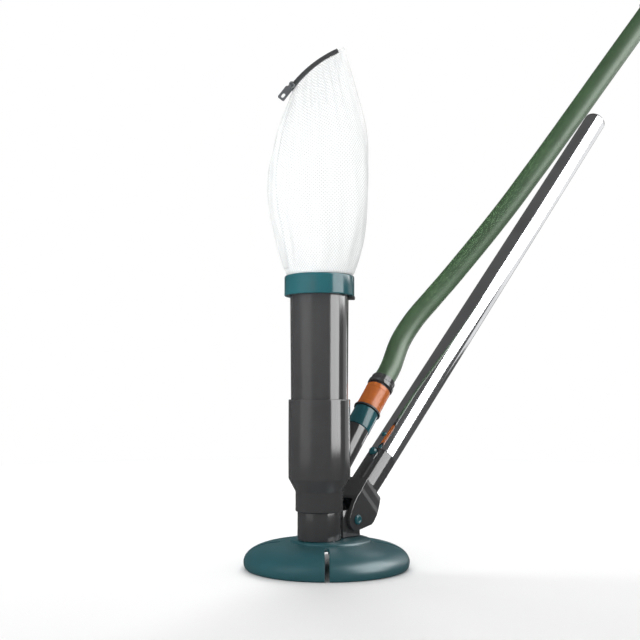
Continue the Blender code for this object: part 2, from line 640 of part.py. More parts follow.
def make_tap_connector(tap):
    """The push-on connector that goes over a tap, with the hose's end seated inside it."""
    socket_r = HOSE_R + GAP
    face = TAP_L - TAP_SOCKET
    turned("hose_tap_connector", [
        (TAP_R - 0.001, face), (TAP_R, face - 0.001), (TAP_R, 0.004), (TAP_LOCK_R, 0.001),
        (TAP_LOCK_R, -TAP_SOCKET), (socket_r, -TAP_SOCKET), (socket_r, GAP), (TAP_BORE_R, GAP),
        (TAP_BORE_R, TAP_FLOOR - 0.002), (TAP_MOUTH_R, TAP_FLOOR), (TAP_MOUTH_R, face)], tap, GREY, 20)


# ---------------------------------------------------------------- pole, its bracket and its buttons
def make_pole_bracket():
    side = SOCKET_R - 0.0002
    outline = ([(HOOD_END, -side), (0.030, -0.0200), HOOD_LOWER, (0.0115, -0.0215)]
               + arc((0, 0), EAR_R, 250, 105, 9) + [(0.008, 0.0160), HOOD_UPPER, (HOOD_END, side)])
    outline.reverse()
    bracket = plate("pole_bracket", outline, -EAR_OUT, EAR_OUT, PLANE, GREY)
    half = [(-0.03, EAR_OUT + 0.001), (HOOD_FLARE, EAR_OUT + 0.001), (0.030, EAR_OUT - 0.0012),
            (HOOD_NARROW, SOCKET_R + 0.0012), (HOOD_END + 0.002, SOCKET_R - 0.0008)]
    plan = plate("bracket_plan", [(x, -y) for x, y in half] + half[::-1], -0.04, 0.04, PLAN)
    combine(bracket, plan, "INTERSECT")
    combine(bracket, cylinder("socket", SOCKET_R, 0.0303, SOCKET_END, POLE, None, 32), "UNION")
    spigot_r = POLE_R - POLE_WALL - GAP
    spigot = turned("spigot", [
        (0, SPIGOT_END), (spigot_r - 0.001, SPIGOT_END), (spigot_r, SPIGOT_END - 0.001),
        (spigot_r, SOCKET_END - 0.004), (0, SOCKET_END - 0.004)], POLE, None, 28, False)
    combine(bracket, spigot, "UNION")
    boss = cylinder("clip_boss", CLIP_BOSS_R, BRACKET_BORE_R, CLIP_BOSS_OUT, CLIP_SCREW, None, 16)
    combine(bracket, boss, "UNION")
    clear = arc((0, 0), HINGE_CLEAR_R, -90, 90, 14)
    opening = clear + [(-0.04, HINGE_CLEAR_R), (-0.04, -0.04), (0, -0.04)]
    combine(bracket, plate("hood_cavity", opening, -EAR_IN, EAR_IN, PLANE))
    combine(bracket, cylinder("socket_bore", BRACKET_BORE_R, BORE_START, SPIGOT_END + 0.01, POLE, None, 26))
    combine(bracket, cylinder("ear_way", PIN_R + RUN, -0.05, 0.05, PLANE, None, 14))
    combine(bracket, cylinder("release_way", RELEASE_R + RUN, 0.0045, 0.03, RELEASE, None, 18))
    combine(bracket, cylinder("snap_way", SNAP_R + RUN, 0.0045, 0.03, SNAP, None, 14))
    combine(bracket, cylinder("clip_screw_way", CLIP_SCREW_R + RUN, 0.004, 0.03, CLIP_SCREW, None, 12))
    combine(bracket, cylinder("clip_head_way", CLIP_HEAD_R + RUN, CLIP_BOSS_OUT - CLIP_HEAD_T - GAP, 0.03,
                              CLIP_SCREW, None, 14))
    for side in (-1, 1):
        low, high = sorted((side * TONGUE_HALF, side * (TONGUE_HALF + TONGUE_SLIT)))
        combine(bracket, block(f"tongue_slit_{side}", (-0.03, low, RELEASE_AT - TONGUE_L),
                               (-TONGUE_ROOT, high, SOCKET_END - 0.0045), POLE))
    return bracket


def make_hinge_pin():
    cylinder("pivot_pin", PIN_R, -EAR_OUT, EAR_OUT, PIN, STEEL, 24)
    for name, side in (("pin_cap_near", 1), ("pin_cap_far", -1)):
        low, high = EAR_OUT + GAP, EAR_OUT + GAP + CAP_T
        profile = [(0, high), (CAP_R - 0.0018, high), (CAP_R - 0.0005, high - 0.0007), (CAP_R, high - 0.0016),
                   (CAP_R, low), (0, low)]
        cap = turned(name, profile, PIN, TEAL, 16, False)
        cap.rotation_euler = (0 if side > 0 else pi, 0, 0)


def make_buttons():
    for name, frame, radius, out in (("release_button", RELEASE, RELEASE_R, RELEASE_OUT),
                                     ("snap_button", SNAP, SNAP_R, SNAP_OUT)):
        shoulder = BUTTON_FOOT + BUTTON_FLANGE_T
        foot = [(radius, shoulder), (BUTTON_FLANGE_R, shoulder), (BUTTON_FLANGE_R, BUTTON_FOOT),
                (0, BUTTON_FOOT)]
        turned(name, arc((0, out - radius), radius, 90, 0, 4) + foot, frame, TEAL, 16, False)
    arm_top = BUTTON_FOOT - GAP
    block("clip_arm", (-arm_top, -CLIP_HALF_W, CLIP_BEND_AT + 2 * GAP),
          (CLIP_T - arm_top, CLIP_HALF_W, SNAP_AT + BUTTON_FLANGE_R), POLE, STEEL)
    middle = (arm_top - CLIP_LEG_OUT) / 2
    outer = (arm_top + CLIP_LEG_OUT) / 2
    centre = (CLIP_BEND_AT, middle)
    leg_end = CLIP_SCREW_AT + CLIP_HEAD_R + 0.003
    low = middle - outer
    outline = (arc(centre, outer, 90, 270, 8) + [(leg_end, low), (leg_end, low + CLIP_T)]
               + arc(centre, outer - CLIP_T, 270, 90, 8))
    base = plate("clip_spring", outline, -CLIP_HALF_W, CLIP_HALF_W, PLANE, STEEL)
    combine(base, cylinder("clip_hole", CLIP_SCREW_R + RUN, 0.004, 0.03, CLIP_SCREW, None, 12))
    out = CLIP_BOSS_OUT - 0.0004
    tip = CLIP_LEG_OUT - CLIP_T - 0.001
    under = out - CLIP_HEAD_T + 0.0004
    turned("clip_screw", [(0, out), (CLIP_HEAD_R - 0.0005, out), (CLIP_HEAD_R, out - 0.0005),
                          (CLIP_HEAD_R, under), (CLIP_SCREW_R, under), (CLIP_SCREW_R, tip), (0, tip)],
           CLIP_SCREW, STEEL, 10, False)


def make_pole():
    inner = POLE_R - POLE_WALL
    start = SOCKET_END + GAP
    end = PLUG_START - GAP
    wall = [(POLE_R, end), (POLE_R, start), (inner, start), (inner, end)]
    pole = turned("pole_tube", wall, POLE, ALUMINIUM, 36)
    combine(pole, cylinder("pole_hole", SNAP_R + RUN, 0.010, 0.03, SNAP, None, 16))
    stem = inner - GAP
    turned("pole_end_plug", [
        (0, POLE_END), (POLE_R - 0.001, POLE_END), (POLE_R, POLE_END - 0.001), (POLE_R, PLUG_START),
        (stem, PLUG_START), (stem, PLUG_START - PLUG_STEM_L), (stem - 0.002, PLUG_START - PLUG_STEM_L),
        (stem - 0.002, PLUG_START), (0, PLUG_START)], POLE, GREY, 28, False)


# ---------------------------------------------------------------- bag, its collar and its zip
def make_collar():
    seat = RISER_TOP_Z + GAP
    turned("bag_collar", [
        (COLLAR_R - 0.0016, COLLAR_TOP_Z), (COLLAR_R - 0.0004, COLLAR_TOP_Z - 0.0007),
        (COLLAR_R, COLLAR_TOP_Z - 0.0018), (COLLAR_R, COLLAR_Z + 0.0006), (COLLAR_R - 0.0006, COLLAR_Z),
        (COLLAR_BORE_R, COLLAR_Z), (COLLAR_BORE_R, seat), (COLLAR_UPPER_BORE_R, seat + 0.0006),
        (COLLAR_UPPER_BORE_R, COLLAR_TOP_Z)], RISER, TEAL, 40)
    inner = BAG_RING_R - BAG_RING_WALL
    turned("bag_ring", [(BAG_RING_R, COLLAR_TOP_Z), (BAG_RING_R, seat), (inner, seat), (inner, COLLAR_TOP_Z)],
           RISER, GREY, 32)


def make_bag_shell():
    """Rings between the bag's two sides, round at the foot and flat at the closed edge."""
    foot = BAG_FOOT_R
    out_left, out_right, out_depth = (foot + past for past in BAG_SHOULDER)
    left = [(-foot, BAG_FOOT_Z), (-foot, COLLAR_TOP_Z), (-out_left, BAG_SHOULDER_Z)] + BAG_LEFT + [BAG_LOW_END]
    right = [(foot, BAG_FOOT_Z), (foot, COLLAR_TOP_Z), (out_right, BAG_SHOULDER_Z)] + BAG_RIGHT + [BAG_TIP]
    depth = [foot, foot, out_depth] + BAG_DEPTH + [BAG_EDGE_HALF]
    shape = bmesh.new()
    rings = []
    for i, ends in enumerate(zip(left, right)):
        low, high = (Vector((x, 0, z)) for x, z in ends)
        across = (high - low) / 2
        middle = (low + high) / 2
        out = Vector((-across.z, 0, across.x)).normalized()
        bulge = BAG_EDGE_BULGE * (i / (len(left) - 1)) ** 3
        ring = []
        for j in range(BAG_SIDES):
            a = 2 * pi * j / BAG_SIDES
            ring.append(shape.verts.new(middle + across * cos(a) + Vector((0, depth[i] * sin(a), 0))
                                        + out * bulge * sin(a) ** 2))
        rings.append(ring)
    for low, high in zip(rings, rings[1:]):
        for j in range(BAG_SIDES):
            k = (j + 1) % BAG_SIDES
            shape.faces.new((low[j], low[k], high[k], high[j]))
    half = BAG_SIDES // 2
    top = rings[-1]
    for j in range(half):
        low, high = top[j], top[j + 1]
        far_low, far_high = top[-j % BAG_SIDES], top[-(j + 1) % BAG_SIDES]
        corners = [corner for k, corner in enumerate((low, high, far_high, far_low))
                   if corner not in (low, high, far_high, far_low)[:k]]
        shape.faces.new(corners)
    mesh = bpy.data.meshes.new("mesh_bag")
    bmesh.ops.recalc_face_normals(shape, faces=shape.faces)
    shape.to_mesh(mesh)
    shape.free()
    bag = add("mesh_bag", mesh, RISER, MESH)
    wall = bag.modifiers.new("wall", "SOLIDIFY")
    wall.thickness = BAG_WALL
    wall.offset = -1


def closed_edge():
    """Centre, radius and end angles of the arc that the bag's closed edge follows."""
    low, tip = Vector(BAG_LOW_END), Vector(BAG_TIP)
    half = (tip - low).length / 2
    radius = (half ** 2 + BAG_EDGE_BULGE ** 2) / (2 * BAG_EDGE_BULGE)
    chord = (tip - low).normalized()
    out = Vector((-chord.y, chord.x))
    centre = (low + tip) / 2 + out * (BAG_EDGE_BULGE - radius)
    start, end = (degrees(atan2((point - centre).y, (point - centre).x)) for point in (low, tip))
    return centre, radius, start, end


def make_zip():
    centre, radius, start, end = closed_edge()
    inner = radius + GAP
    outer = inner + ZIP_WIDTH
    edge = empty("edge_arc", BAG_PLANE, (*centre, 0))
    stop = end + degrees(ZIP_TIP_GAP / radius)
    plate("zip_tape", arc((0, 0), outer, stop, start, 12) + arc((0, 0), inner, start, stop, 12),
          -ZIP_HALF_T, ZIP_HALF_T, edge, BLACK)
    slider_turn = radians(start) - (SLIDER_L / 2 + 0.001) / radius - pi / 2
    slide = empty("slider_seat", edge, (0, 0, 0), (0, 0, slider_turn))    # y out along the radius
    half = SLIDER_L / 2
    reach = ZIP_HALF_T + RUN
    low, high = inner + ZIP_GRIP, outer + RUN
    face = reach + SLIDER_WALL
    slider = block("zip_slider", (-half, low, -face), (half, high + SLIDER_WALL, face), slide, STEEL)
    combine(slider, block("slider_way", (-SLIDER_L, low - 0.01, -reach), (SLIDER_L, high, reach), slide))
    bar_y = (low + high) / 2
    bar = empty("pull_hinge", slide, (0, bar_y, face + RUN + PULL_KNUCKLE_R), (0, 0, pi))   # x along the pull
    near = PULL_KNUCKLE_HALF + RUN
    lug = PULL_BAR_R + 0.0007
    root = PULL_KNUCKLE_R + RUN + SLIDER_WALL / 2
    tip = PULL_BAR_R + 0.0005
    for side in (-1, 1):
        left, right = sorted((side * near, side * (near + PULL_LUG_T)))
        combine(slider, block(f"pull_lug_{side}", (-lug, left, -root), (lug, right, tip), bar), "UNION")
    combine(slider, cylinder("pull_bar", PULL_BAR_R, -near - PULL_LUG_T / 2, near + PULL_LUG_T / 2, bar,
                             None, 12, "Y"), "UNION")
    pull = make_pull(bar)
    combine(pull, cylinder("pull_eye", PULL_BAR_R + RUN, -0.01, 0.01, bar, None, 12, "Y"))


def make_pull(bar):
    """A flat tag on a knuckle: a narrow tongue off the bar, then the wide grip with a hole near its end."""
    half = PULL_W / 2
    neck = PULL_KNUCKLE_HALF
    slim = neck - GAP
    outline = [(0, -slim), (PULL_NECK_L, -slim), (PULL_NECK_L + 0.002, -half), (PULL_L - 0.001, -half),
               (PULL_L, 0.001 - half)]
    outline += [(x, -y) for x, y in reversed(outline)]
    pull = plate("zip_pull", outline, -PULL_T / 2, PULL_T / 2, bar, GREY)
    combine(pull, cylinder("pull_knuckle", PULL_KNUCKLE_R, -neck, neck, bar, None, 16, "Y"), "UNION")
    slot = arc((PULL_SLOT_FAR, 0), PULL_HOLE_R, -90, 90, 8)
    slot += arc((PULL_SLOT_NEAR, 0), PULL_HOLE_R, 90, 270, 8)
    combine(pull, plate("pull_slot", slot, -PULL_T, PULL_T, bar))
    return pull


# ---------------------------------------------------------------- the whole object
make_suction_head()
make_base_screws()
make_neck_block()
make_venturi_body()
make_jet_ring()
make_riser_tube()
make_flap()
make_inlet()
make_hose()
make_pole_bracket()
make_hinge_pin()
make_buttons()
make_pole()
make_collar()
make_bag_shell()
make_zip()
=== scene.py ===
"""Pool cleaner: the finished look of the suction dome, body, hose, pole and mesh bag."""

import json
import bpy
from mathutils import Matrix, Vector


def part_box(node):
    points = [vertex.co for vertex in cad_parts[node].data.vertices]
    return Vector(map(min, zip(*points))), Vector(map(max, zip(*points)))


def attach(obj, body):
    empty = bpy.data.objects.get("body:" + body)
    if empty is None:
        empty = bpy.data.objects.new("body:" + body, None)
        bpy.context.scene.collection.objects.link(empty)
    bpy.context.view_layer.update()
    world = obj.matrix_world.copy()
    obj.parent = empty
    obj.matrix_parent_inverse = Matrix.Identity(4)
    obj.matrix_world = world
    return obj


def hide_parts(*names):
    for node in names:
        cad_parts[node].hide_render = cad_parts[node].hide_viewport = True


bl_info = {
    "name": "Pool Cleaner",
    "version": (1, 0, 0),
    "blender": (4, 5, 0),
    "location": "View3D > Sidebar > Pool Cleaner",
    "description": "Builds the visible pieces of a hose-fed pool cleaner around its packed model",
    "category": "Add Mesh",
}

from math import atan2, cos, degrees, pi, radians, sin, sqrt

import bmesh
import bpy
from bpy.props import FloatProperty, IntProperty, PointerProperty, StringProperty
from mathutils import Matrix, Vector
from mathutils.geometry import interpolate_bezier

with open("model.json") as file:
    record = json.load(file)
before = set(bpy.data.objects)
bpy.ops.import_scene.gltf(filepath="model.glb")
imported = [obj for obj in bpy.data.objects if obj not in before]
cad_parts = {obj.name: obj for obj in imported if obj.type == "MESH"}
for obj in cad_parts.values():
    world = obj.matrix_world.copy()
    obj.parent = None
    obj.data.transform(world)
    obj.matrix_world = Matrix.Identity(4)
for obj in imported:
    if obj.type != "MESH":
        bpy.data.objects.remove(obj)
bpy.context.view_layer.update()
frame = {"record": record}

# ---------------------------------------------------------------- places read from the frame
JOINTS = {joint["name"]: joint for joint in frame["record"]["behaviour"]["joints"]}
MOUNTS = {mount["name"]: mount for mount in frame["record"]["mounts"]}


def middle(node):
    low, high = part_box(node)
    return (Vector(low) + Vector(high)) / 2


def axes(x, y, z, origin):
    """A local frame from its three directions and its origin."""
    turned = Matrix((x, y, z)).transposed().to_4x4()
    turned.translation = origin
    return turned


UP = Vector((0, 0, 1))
ACROSS = Vector(JOINTS["pole_fold"]["axis"])
ALONG = ACROSS.cross(UP) * -1
PIN = Vector(JOINTS["pole_fold"]["pos_m"])
POLE_WAY = Vector(MOUNTS["pole_end"]["axis"])
INLET_WAY = Vector(JOINTS["lock_slide"]["axis"])
FLOOR_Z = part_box("suction_head")[0][2]
DOME = Matrix.Translation(Vector((*middle("suction_head").xy, FLOOR_Z)))
RISER = Matrix.Translation(Vector((*middle("bag_collar").xy, FLOOR_Z)))
HINGE = axes(ALONG, UP, ACROSS, PIN)
POLE = axes(ACROSS.cross(POLE_WAY) * -1, -ACROSS, POLE_WAY, PIN)        # x to the pole's lower side
EDGE = axes(Vector((1, 0, 0)), UP, Vector((0, -1, 0)), Vector(JOINTS["zip_slide"]["pos_m"]))
LOCK_MIDDLE = 0.13370                                                   # of the locking sleeve, up the inlet
INLET = axes(ACROSS.cross(INLET_WAY) * -1, -ACROSS, INLET_WAY,
             middle("connector_sleeve") - LOCK_MIDDLE * INLET_WAY)
TURN = atan2(ALONG.y, ALONG.x)


# ---------------------------------------------------------------- what a user would change
class CleanerSizes(bpy.types.PropertyGroup):
    fillet: FloatProperty(name="Fillet", description="Radius on moulded edges", default=0.0007, unit="LENGTH")
    thread: FloatProperty(name="Mesh Pitch", description="Spacing of the bag's threads", default=0.0026,
                          unit="LENGTH")
    pleat: FloatProperty(name="Pleat Depth", description="Depth of the folds under the zip", default=0.0026,
                         unit="LENGTH")
    pleats: IntProperty(name="Pleats", description="Folds that fan out under the zip", default=11)
    gathers: IntProperty(name="Gathers", description="Small tucks where the cloth is sewn to the zip",
                         default=30)
    teeth: IntProperty(name="Zip Teeth", description="Coils along the zip", default=46)
    ribs: IntProperty(name="Grip Ribs", description="Ribs round the hose nut", default=30)
    steps: IntProperty(name="Turning Steps", description="Facets round a turned piece", default=96)


class CleanerColours(bpy.types.PropertyGroup):
    teal: StringProperty(name="Teal", description="Dome, collar and buttons", default="#285C64")
    grey: StringProperty(name="Grey", description="Body, riser, bracket and fittings", default="#424243")
    orange: StringProperty(name="Orange", description="Locking sleeve", default="#C96C2C")
    hose: StringProperty(name="Hose", description="Garden hose", default="#415D3E")
    rubber: StringProperty(name="Rubber", description="Washers, flap and zip", default="#2B2C2D")
    mesh: StringProperty(name="Mesh", description="Bag and hem", default="#E6E8E8")
    metal: StringProperty(name="Metal", description="Pole", default="#D9DADC")
    floor: StringProperty(name="Floor", description="Floor and backdrop", default="#FDFDFD")


def sizes():
    return bpy.context.scene.cleaner_sizes


def colours():
    return bpy.context.scene.cleaner_colours


# ---------------------------------------------------------------- materials
def linear(text):
    """A hex sRGB colour as linear RGBA."""
    channels = [int(text[i:i + 2], 16) / 255 for i in (1, 3, 5)]
    return (*[c / 12.92 if c <= 0.04045 else ((c + 0.055) / 1.055) ** 2.4 for c in channels], 1.0)


def shade(text, factor):
    """The same hex colour, lighter or darker."""
    return "#" + "".join(f"{min(255, round(int(text[i:i + 2], 16) * factor)):02X}" for i in (1, 3, 5))


def node(tree, kind, links=(), **settings):
    """Adds a node: settings are attributes or, for a name with a socket, that socket's value."""
    made = tree.nodes.new(kind)
    for name, value in settings.items():
        if name.startswith("in_"):
            made.inputs[int(name[3:])].default_value = value
        else:
            setattr(made, name, value)
    for socket, source in links:
        tree.links.new(source, made.inputs[socket])
    return made


def started(name):
    made = bpy.data.materials.new(name)
    made.use_nodes = True
    return made, made.node_tree, made.node_tree.nodes["Principled BSDF"]


def mottled(tree, shader, colour, spread, scale, place):
    """Slow variation between a darker and a lighter tone of one colour."""
    noise = node(tree, "ShaderNodeTexNoise", [("Vector", place)], in_2=scale, in_3=3.0, in_4=0.55)
    ramp = node(tree, "ShaderNodeValToRGB", [("Fac", noise.outputs["Fac"])])
    ramp.color_ramp.elements[0].position = 0.3
    ramp.color_ramp.elements[1].position = 0.7
    ramp.color_ramp.elements[0].color = linear(shade(colour, 1 - spread))
    ramp.color_ramp.elements[1].color = linear(shade(colour, 1 + spread))
    tree.links.new(ramp.outputs["Color"], shader.inputs["Base Color"])
    return noise


def rough(tree, shader, low, high, source):
    """Roughness between two values along a pattern."""
    spread = node(tree, "ShaderNodeMapRange", [("Value", source)], in_3=low, in_4=high)
    tree.links.new(spread.outputs["Result"], shader.inputs["Roughness"])


def moulded_plastic(name, colour, roughness, gloss=0.5, grain=0.0009, depth=0.00004):
    """Injection-moulded ABS: an even colour, a soft gloss and a very fine texture from the mould."""
    made, tree, shader = started(name)
    place = node(tree, "ShaderNodeTexCoord").outputs["Object"]
    slow = mottled(tree, shader, colour, 0.035, 35.0, place)
    rough(tree, shader, roughness - 0.02, roughness + 0.03, slow.outputs["Fac"])
    fine = node(tree, "ShaderNodeTexNoise", [("Vector", place)], in_2=1 / grain, in_3=2.0)
    bump = node(tree, "ShaderNodeBump", [("Height", fine.outputs["Fac"])], in_0=0.12, in_1=depth)
    shader.inputs["Specular IOR Level"].default_value = gloss
    tree.links.new(bump.outputs["Normal"], shader.inputs["Normal"])
    shader.inputs["IOR"].default_value = 1.53
    return made


def drawn_aluminium(name, colour):
    """Drawn and polished aluminium tube: long faint streaks along the draw that stretch its highlights."""
    made, tree, shader = started(name)
    place = node(tree, "ShaderNodeTexCoord").outputs["Object"]
    turned = POLE.to_3x3().transposed().to_euler()
    along = node(tree, "ShaderNodeMapping", [("Vector", place)])
    along.inputs["Rotation"].default_value = turned
    stretch = node(tree, "ShaderNodeMapping", [("Vector", along.outputs["Vector"])])
    stretch.inputs["Scale"].default_value = (900.0, 900.0, 5.0)
    streak = node(tree, "ShaderNodeTexNoise", [("Vector", stretch.outputs["Vector"])], in_2=1.0, in_3=3.0)
    mottled(tree, shader, colour, 0.05, 18.0, place)
    rough(tree, shader, 0.07, 0.15, streak.outputs["Fac"])
    bump = node(tree, "ShaderNodeBump", [("Height", streak.outputs["Fac"])], in_0=0.10, in_1=0.00003)
    tree.links.new(bump.outputs["Normal"], shader.inputs["Normal"])
    shader.inputs["Metallic"].default_value = 1.0
    return made


def satin_steel(name, colour):
    """Stainless steel with a satin finish, for pins, screws and the zip's slider."""
    made, tree, shader = started(name)
    place = node(tree, "ShaderNodeTexCoord").outputs["Object"]
    slow = mottled(tree, shader, colour, 0.04, 60.0, place)
    rough(tree, shader, 0.22, 0.36, slow.outputs["Fac"])
    shader.inputs["Metallic"].default_value = 1.0
    return made


def soft_rubber(name, colour, roughness=0.62):
    """Moulded nitrile rubber: matt, with a fine dusty grain."""
    made, tree, shader = started(name)
    place = node(tree, "ShaderNodeTexCoord").outputs["Object"]
    slow = mottled(tree, shader, colour, 0.08, 50.0, place)
    rough(tree, shader, roughness - 0.06, roughness + 0.06, slow.outputs["Fac"])
    fine = node(tree, "ShaderNodeTexNoise", [("Vector", place)], in_2=1400.0, in_3=2.0)
    bump = node(tree, "ShaderNodeBump", [("Height", fine.outputs["Fac"])], in_0=0.30, in_1=0.00006)
    tree.links.new(bump.outputs["Normal"], shader.inputs["Normal"])
    return made


def hose_vinyl(name, colour):
    """Extruded vinyl over braid: the braid shows through as faint crossing ridges, 3 mm apart."""
    made, tree, shader = started(name)
    uv = node(tree, "ShaderNodeUVMap", uv_map="UVMap").outputs["UV"]
    place = node(tree, "ShaderNodeTexCoord").outputs["Object"]
    slow = mottled(tree, shader, colour, 0.06, 28.0, place)
    rough(tree, shader, 0.40, 0.50, slow.outputs["Fac"])
    ridges = []
    for lean in (-1, 1):
        turned = node(tree, "ShaderNodeMapping", [("Vector", uv)])
        turned.inputs["Rotation"].default_value = (0, 0, lean * radians(32))
        ridges.append(node(tree, "ShaderNodeTexWave", [("Vector", turned.outputs["Vector"])], in_1=105.0))
    both = node(tree, "ShaderNodeMath", [(0, ridges[0].outputs["Fac"]), (1, ridges[1].outputs["Fac"])],
                operation="MAXIMUM")
    bump = node(tree, "ShaderNodeBump", [("Height", both.outputs["Value"])], in_0=0.16, in_1=0.0002)
    tree.links.new(bump.outputs["Normal"], shader.inputs["Normal"])
    return made


def knitted_mesh(name, colour, pitch, open_share):
    """Knitted nylon mesh: white threads on two diagonals with open diamonds between them.
    The real pitch of about 0.6 mm is drawn at the pitch given, so that it still shows."""
    made, tree, shader = started(name)
    uv = node(tree, "ShaderNodeUVMap", uv_map="UVMap").outputs["UV"]
    shader.inputs["Base Color"].default_value = linear(colour)
    shader.inputs["Roughness"].default_value = 0.62
    shader.inputs["Sheen Weight"].default_value = 0.25
    threads = []
    for lean in (-1, 1):
        turned = node(tree, "ShaderNodeMapping", [("Vector", uv)])
        turned.inputs["Rotation"].default_value = (0, 0, lean * radians(45))
        turned.inputs["Scale"].default_value = (1 / pitch, 1 / pitch, 1.0)
        split = node(tree, "ShaderNodeSeparateXYZ", [("Vector", turned.outputs["Vector"])])
        saw = node(tree, "ShaderNodeMath", [(0, split.outputs["X"])], operation="FRACT")
        off = node(tree, "ShaderNodeMath", [(0, saw.outputs["Value"])], operation="SUBTRACT", in_1=0.5)
        threads.append(node(tree, "ShaderNodeMath", [(0, off.outputs["Value"])], operation="ABSOLUTE"))
    near = node(tree, "ShaderNodeMath", [(0, threads[0].outputs["Value"]), (1, threads[1].outputs["Value"])],
                operation="MAXIMUM")
    solid = node(tree, "ShaderNodeMapRange", [("Value", near.outputs["Value"])], in_1=0.26, in_2=0.34,
                 in_3=1 - open_share, in_4=0.86)
    tree.links.new(solid.outputs["Result"], shader.inputs["Alpha"])
    bump = node(tree, "ShaderNodeBump", [("Height", near.outputs["Value"])], in_0=0.35, in_1=0.0003)
    tree.links.new(bump.outputs["Normal"], shader.inputs["Normal"])
    return made


def woven_tape(name, colour):
    """Woven polyester tape: small crossing ribs half a millimetre apart, matt with a little sheen."""
    made, tree, shader = started(name)
    place = node(tree, "ShaderNodeTexCoord").outputs["Object"]
    slow = mottled(tree, shader, colour, 0.15, 400.0, place)
    rough(tree, shader, 0.70, 0.85, slow.outputs["Fac"])
    check = node(tree, "ShaderNodeTexChecker", [("Vector", place)], in_3=1400.0)
    bump = node(tree, "ShaderNodeBump", [("Height", check.outputs["Fac"])], in_0=0.5, in_1=0.0002)
    tree.links.new(bump.outputs["Normal"], shader.inputs["Normal"])
    shader.inputs["Sheen Weight"].default_value = 0.2
    return made


def floor_paint(name, colour):
    """Matt white studio floor that is lit from below further out, so that it has no horizon."""
    made, tree, shader = started(name)
    place = node(tree, "ShaderNodeTexCoord").outputs["Object"]
    mottled(tree, shader, colour, 0.006, 2.0, place)
    shader.inputs["Roughness"].default_value = 1.0
    shader.inputs["Specular IOR Level"].default_value = 0.0
    about = node(tree, "ShaderNodeMapping", [("Vector", place)])
    about.inputs["Location"].default_value = -DOME.translation
    away = node(tree, "ShaderNodeVectorMath", [(0, about.outputs["Vector"])], operation="LENGTH")
    share = node(tree, "ShaderNodeMapRange", [("Value", away.outputs["Value"])], in_1=0.5, in_2=1.7)
    lit = node(tree, "ShaderNodeEmission", in_0=linear("#FFFFFF"), in_1=1.0)
    whole = node(tree, "ShaderNodeMixShader", [(0, share.outputs["Result"]), (1, shader.outputs[0]),
                                               (2, lit.outputs[0])])
    tree.links.new(whole.outputs[0], tree.nodes["Material Output"].inputs["Surface"])
    return made


FINISHES = {}


def make_finishes():
    c = colours()
    FINISHES.update({
        "teal": moulded_plastic("moulded_abs_teal", c.teal, 0.14, 0.30),
        "dome": moulded_plastic("moulded_abs_satin", c.teal, 0.36, 0.45),
        "grey": moulded_plastic("moulded_abs_grey", c.grey, 0.11),
        "orange": moulded_plastic("moulded_abs_orange", c.orange, 0.24, 0.30),
        "rubber": soft_rubber("moulded_rubber_black", c.rubber),
        "metal": drawn_aluminium("drawn_aluminium", c.metal),
        "steel": satin_steel("satin_steel", "#A9ABAE"),
        "hose": hose_vinyl("extruded_vinyl_green", c.hose),
        "mesh": knitted_mesh("knitted_nylon_mesh", c.mesh, sizes().thread, 0.80),
        "hem": knitted_mesh("knitted_nylon_hem", c.mesh, sizes().thread, 0.35),
        "tape": woven_tape("woven_zip_tape", "#3E4042"),
        "tag": moulded_plastic("moulded_zip_tag", "#4C4F53", 0.45),
    })


# ---------------------------------------------------------------- making pieces
def piece(name, shape, finish, place=None, sharp=38):
    """A new object at the origin from a bmesh in a local frame; the bmesh is freed."""
    bmesh.ops.transform(shape, matrix=place or Matrix(), verts=shape.verts)
    mesh = bpy.data.meshes.new(name)
    shape.to_mesh(mesh)
    shape.free()
    made = bpy.data.objects.new(name, mesh)
    bpy.context.scene.collection.objects.link(made)
    smooth(made, sharp)
    if finish:
        mesh.materials.append(FINISHES[finish])
    return made


def smooth(made, sharp=38):
    made.data.shade_smooth()
    made.data.set_sharp_from_angle(angle=radians(sharp))


def rounded(profile, radius, closed=True, segments=4):
    """A profile with its corners rounded off, each by no more than its edges allow."""
    points = [Vector(p) for p in profile]
    count = len(points)
    out = []
    for i, corner in enumerate(points):
        if not closed and i in (0, count - 1) or corner.x < 1e-6:
            out.append(corner)
            continue
        back, ahead = points[i - 1] - corner, points[(i + 1) % count] - corner
        if back.angle(ahead) > radians(172):
            out.append(corner)
            continue
        reach = min(radius, 0.45 * back.length, 0.45 * ahead.length)
        a, b = corner + back.normalized() * reach, corner + ahead.normalized() * reach
        for j in range(segments + 1):
            t = j / segments
            out.append(a.lerp(corner, t).lerp(corner.lerp(b, t), t))
    return out


def turned(name, profile, finish, place, radius=None, closed=True, steps=None):
    """A profile of (radius, height) turned about z; it runs down its outer side."""
    steps = steps or sizes().steps
    profile = rounded(profile, sizes().fillet if radius is None else radius, closed)
    shape = bmesh.new()
    rings = []
    for r, z in profile:
        if r < 1e-6:
            rings.append([shape.verts.new((0, 0, z))])
        else:
            rings.append([shape.verts.new((r * cos(2 * pi * j / steps), r * sin(2 * pi * j / steps), z))
                          for j in range(steps)])
    pairs = list(zip(rings, rings[1:])) + ([(rings[-1], rings[0])] if closed else [])
    for upper, lower in pairs:
        for j in range(steps):
            k = (j + 1) % steps
            corners = [upper[j % len(upper)], lower[j % len(lower)],
                       lower[k % len(lower)], upper[k % len(upper)]]
            shape.faces.new([c for i, c in enumerate(corners) if c not in corners[:i]])
    bmesh.ops.recalc_face_normals(shape, faces=shape.faces)
    return piece(name, shape, finish, place)


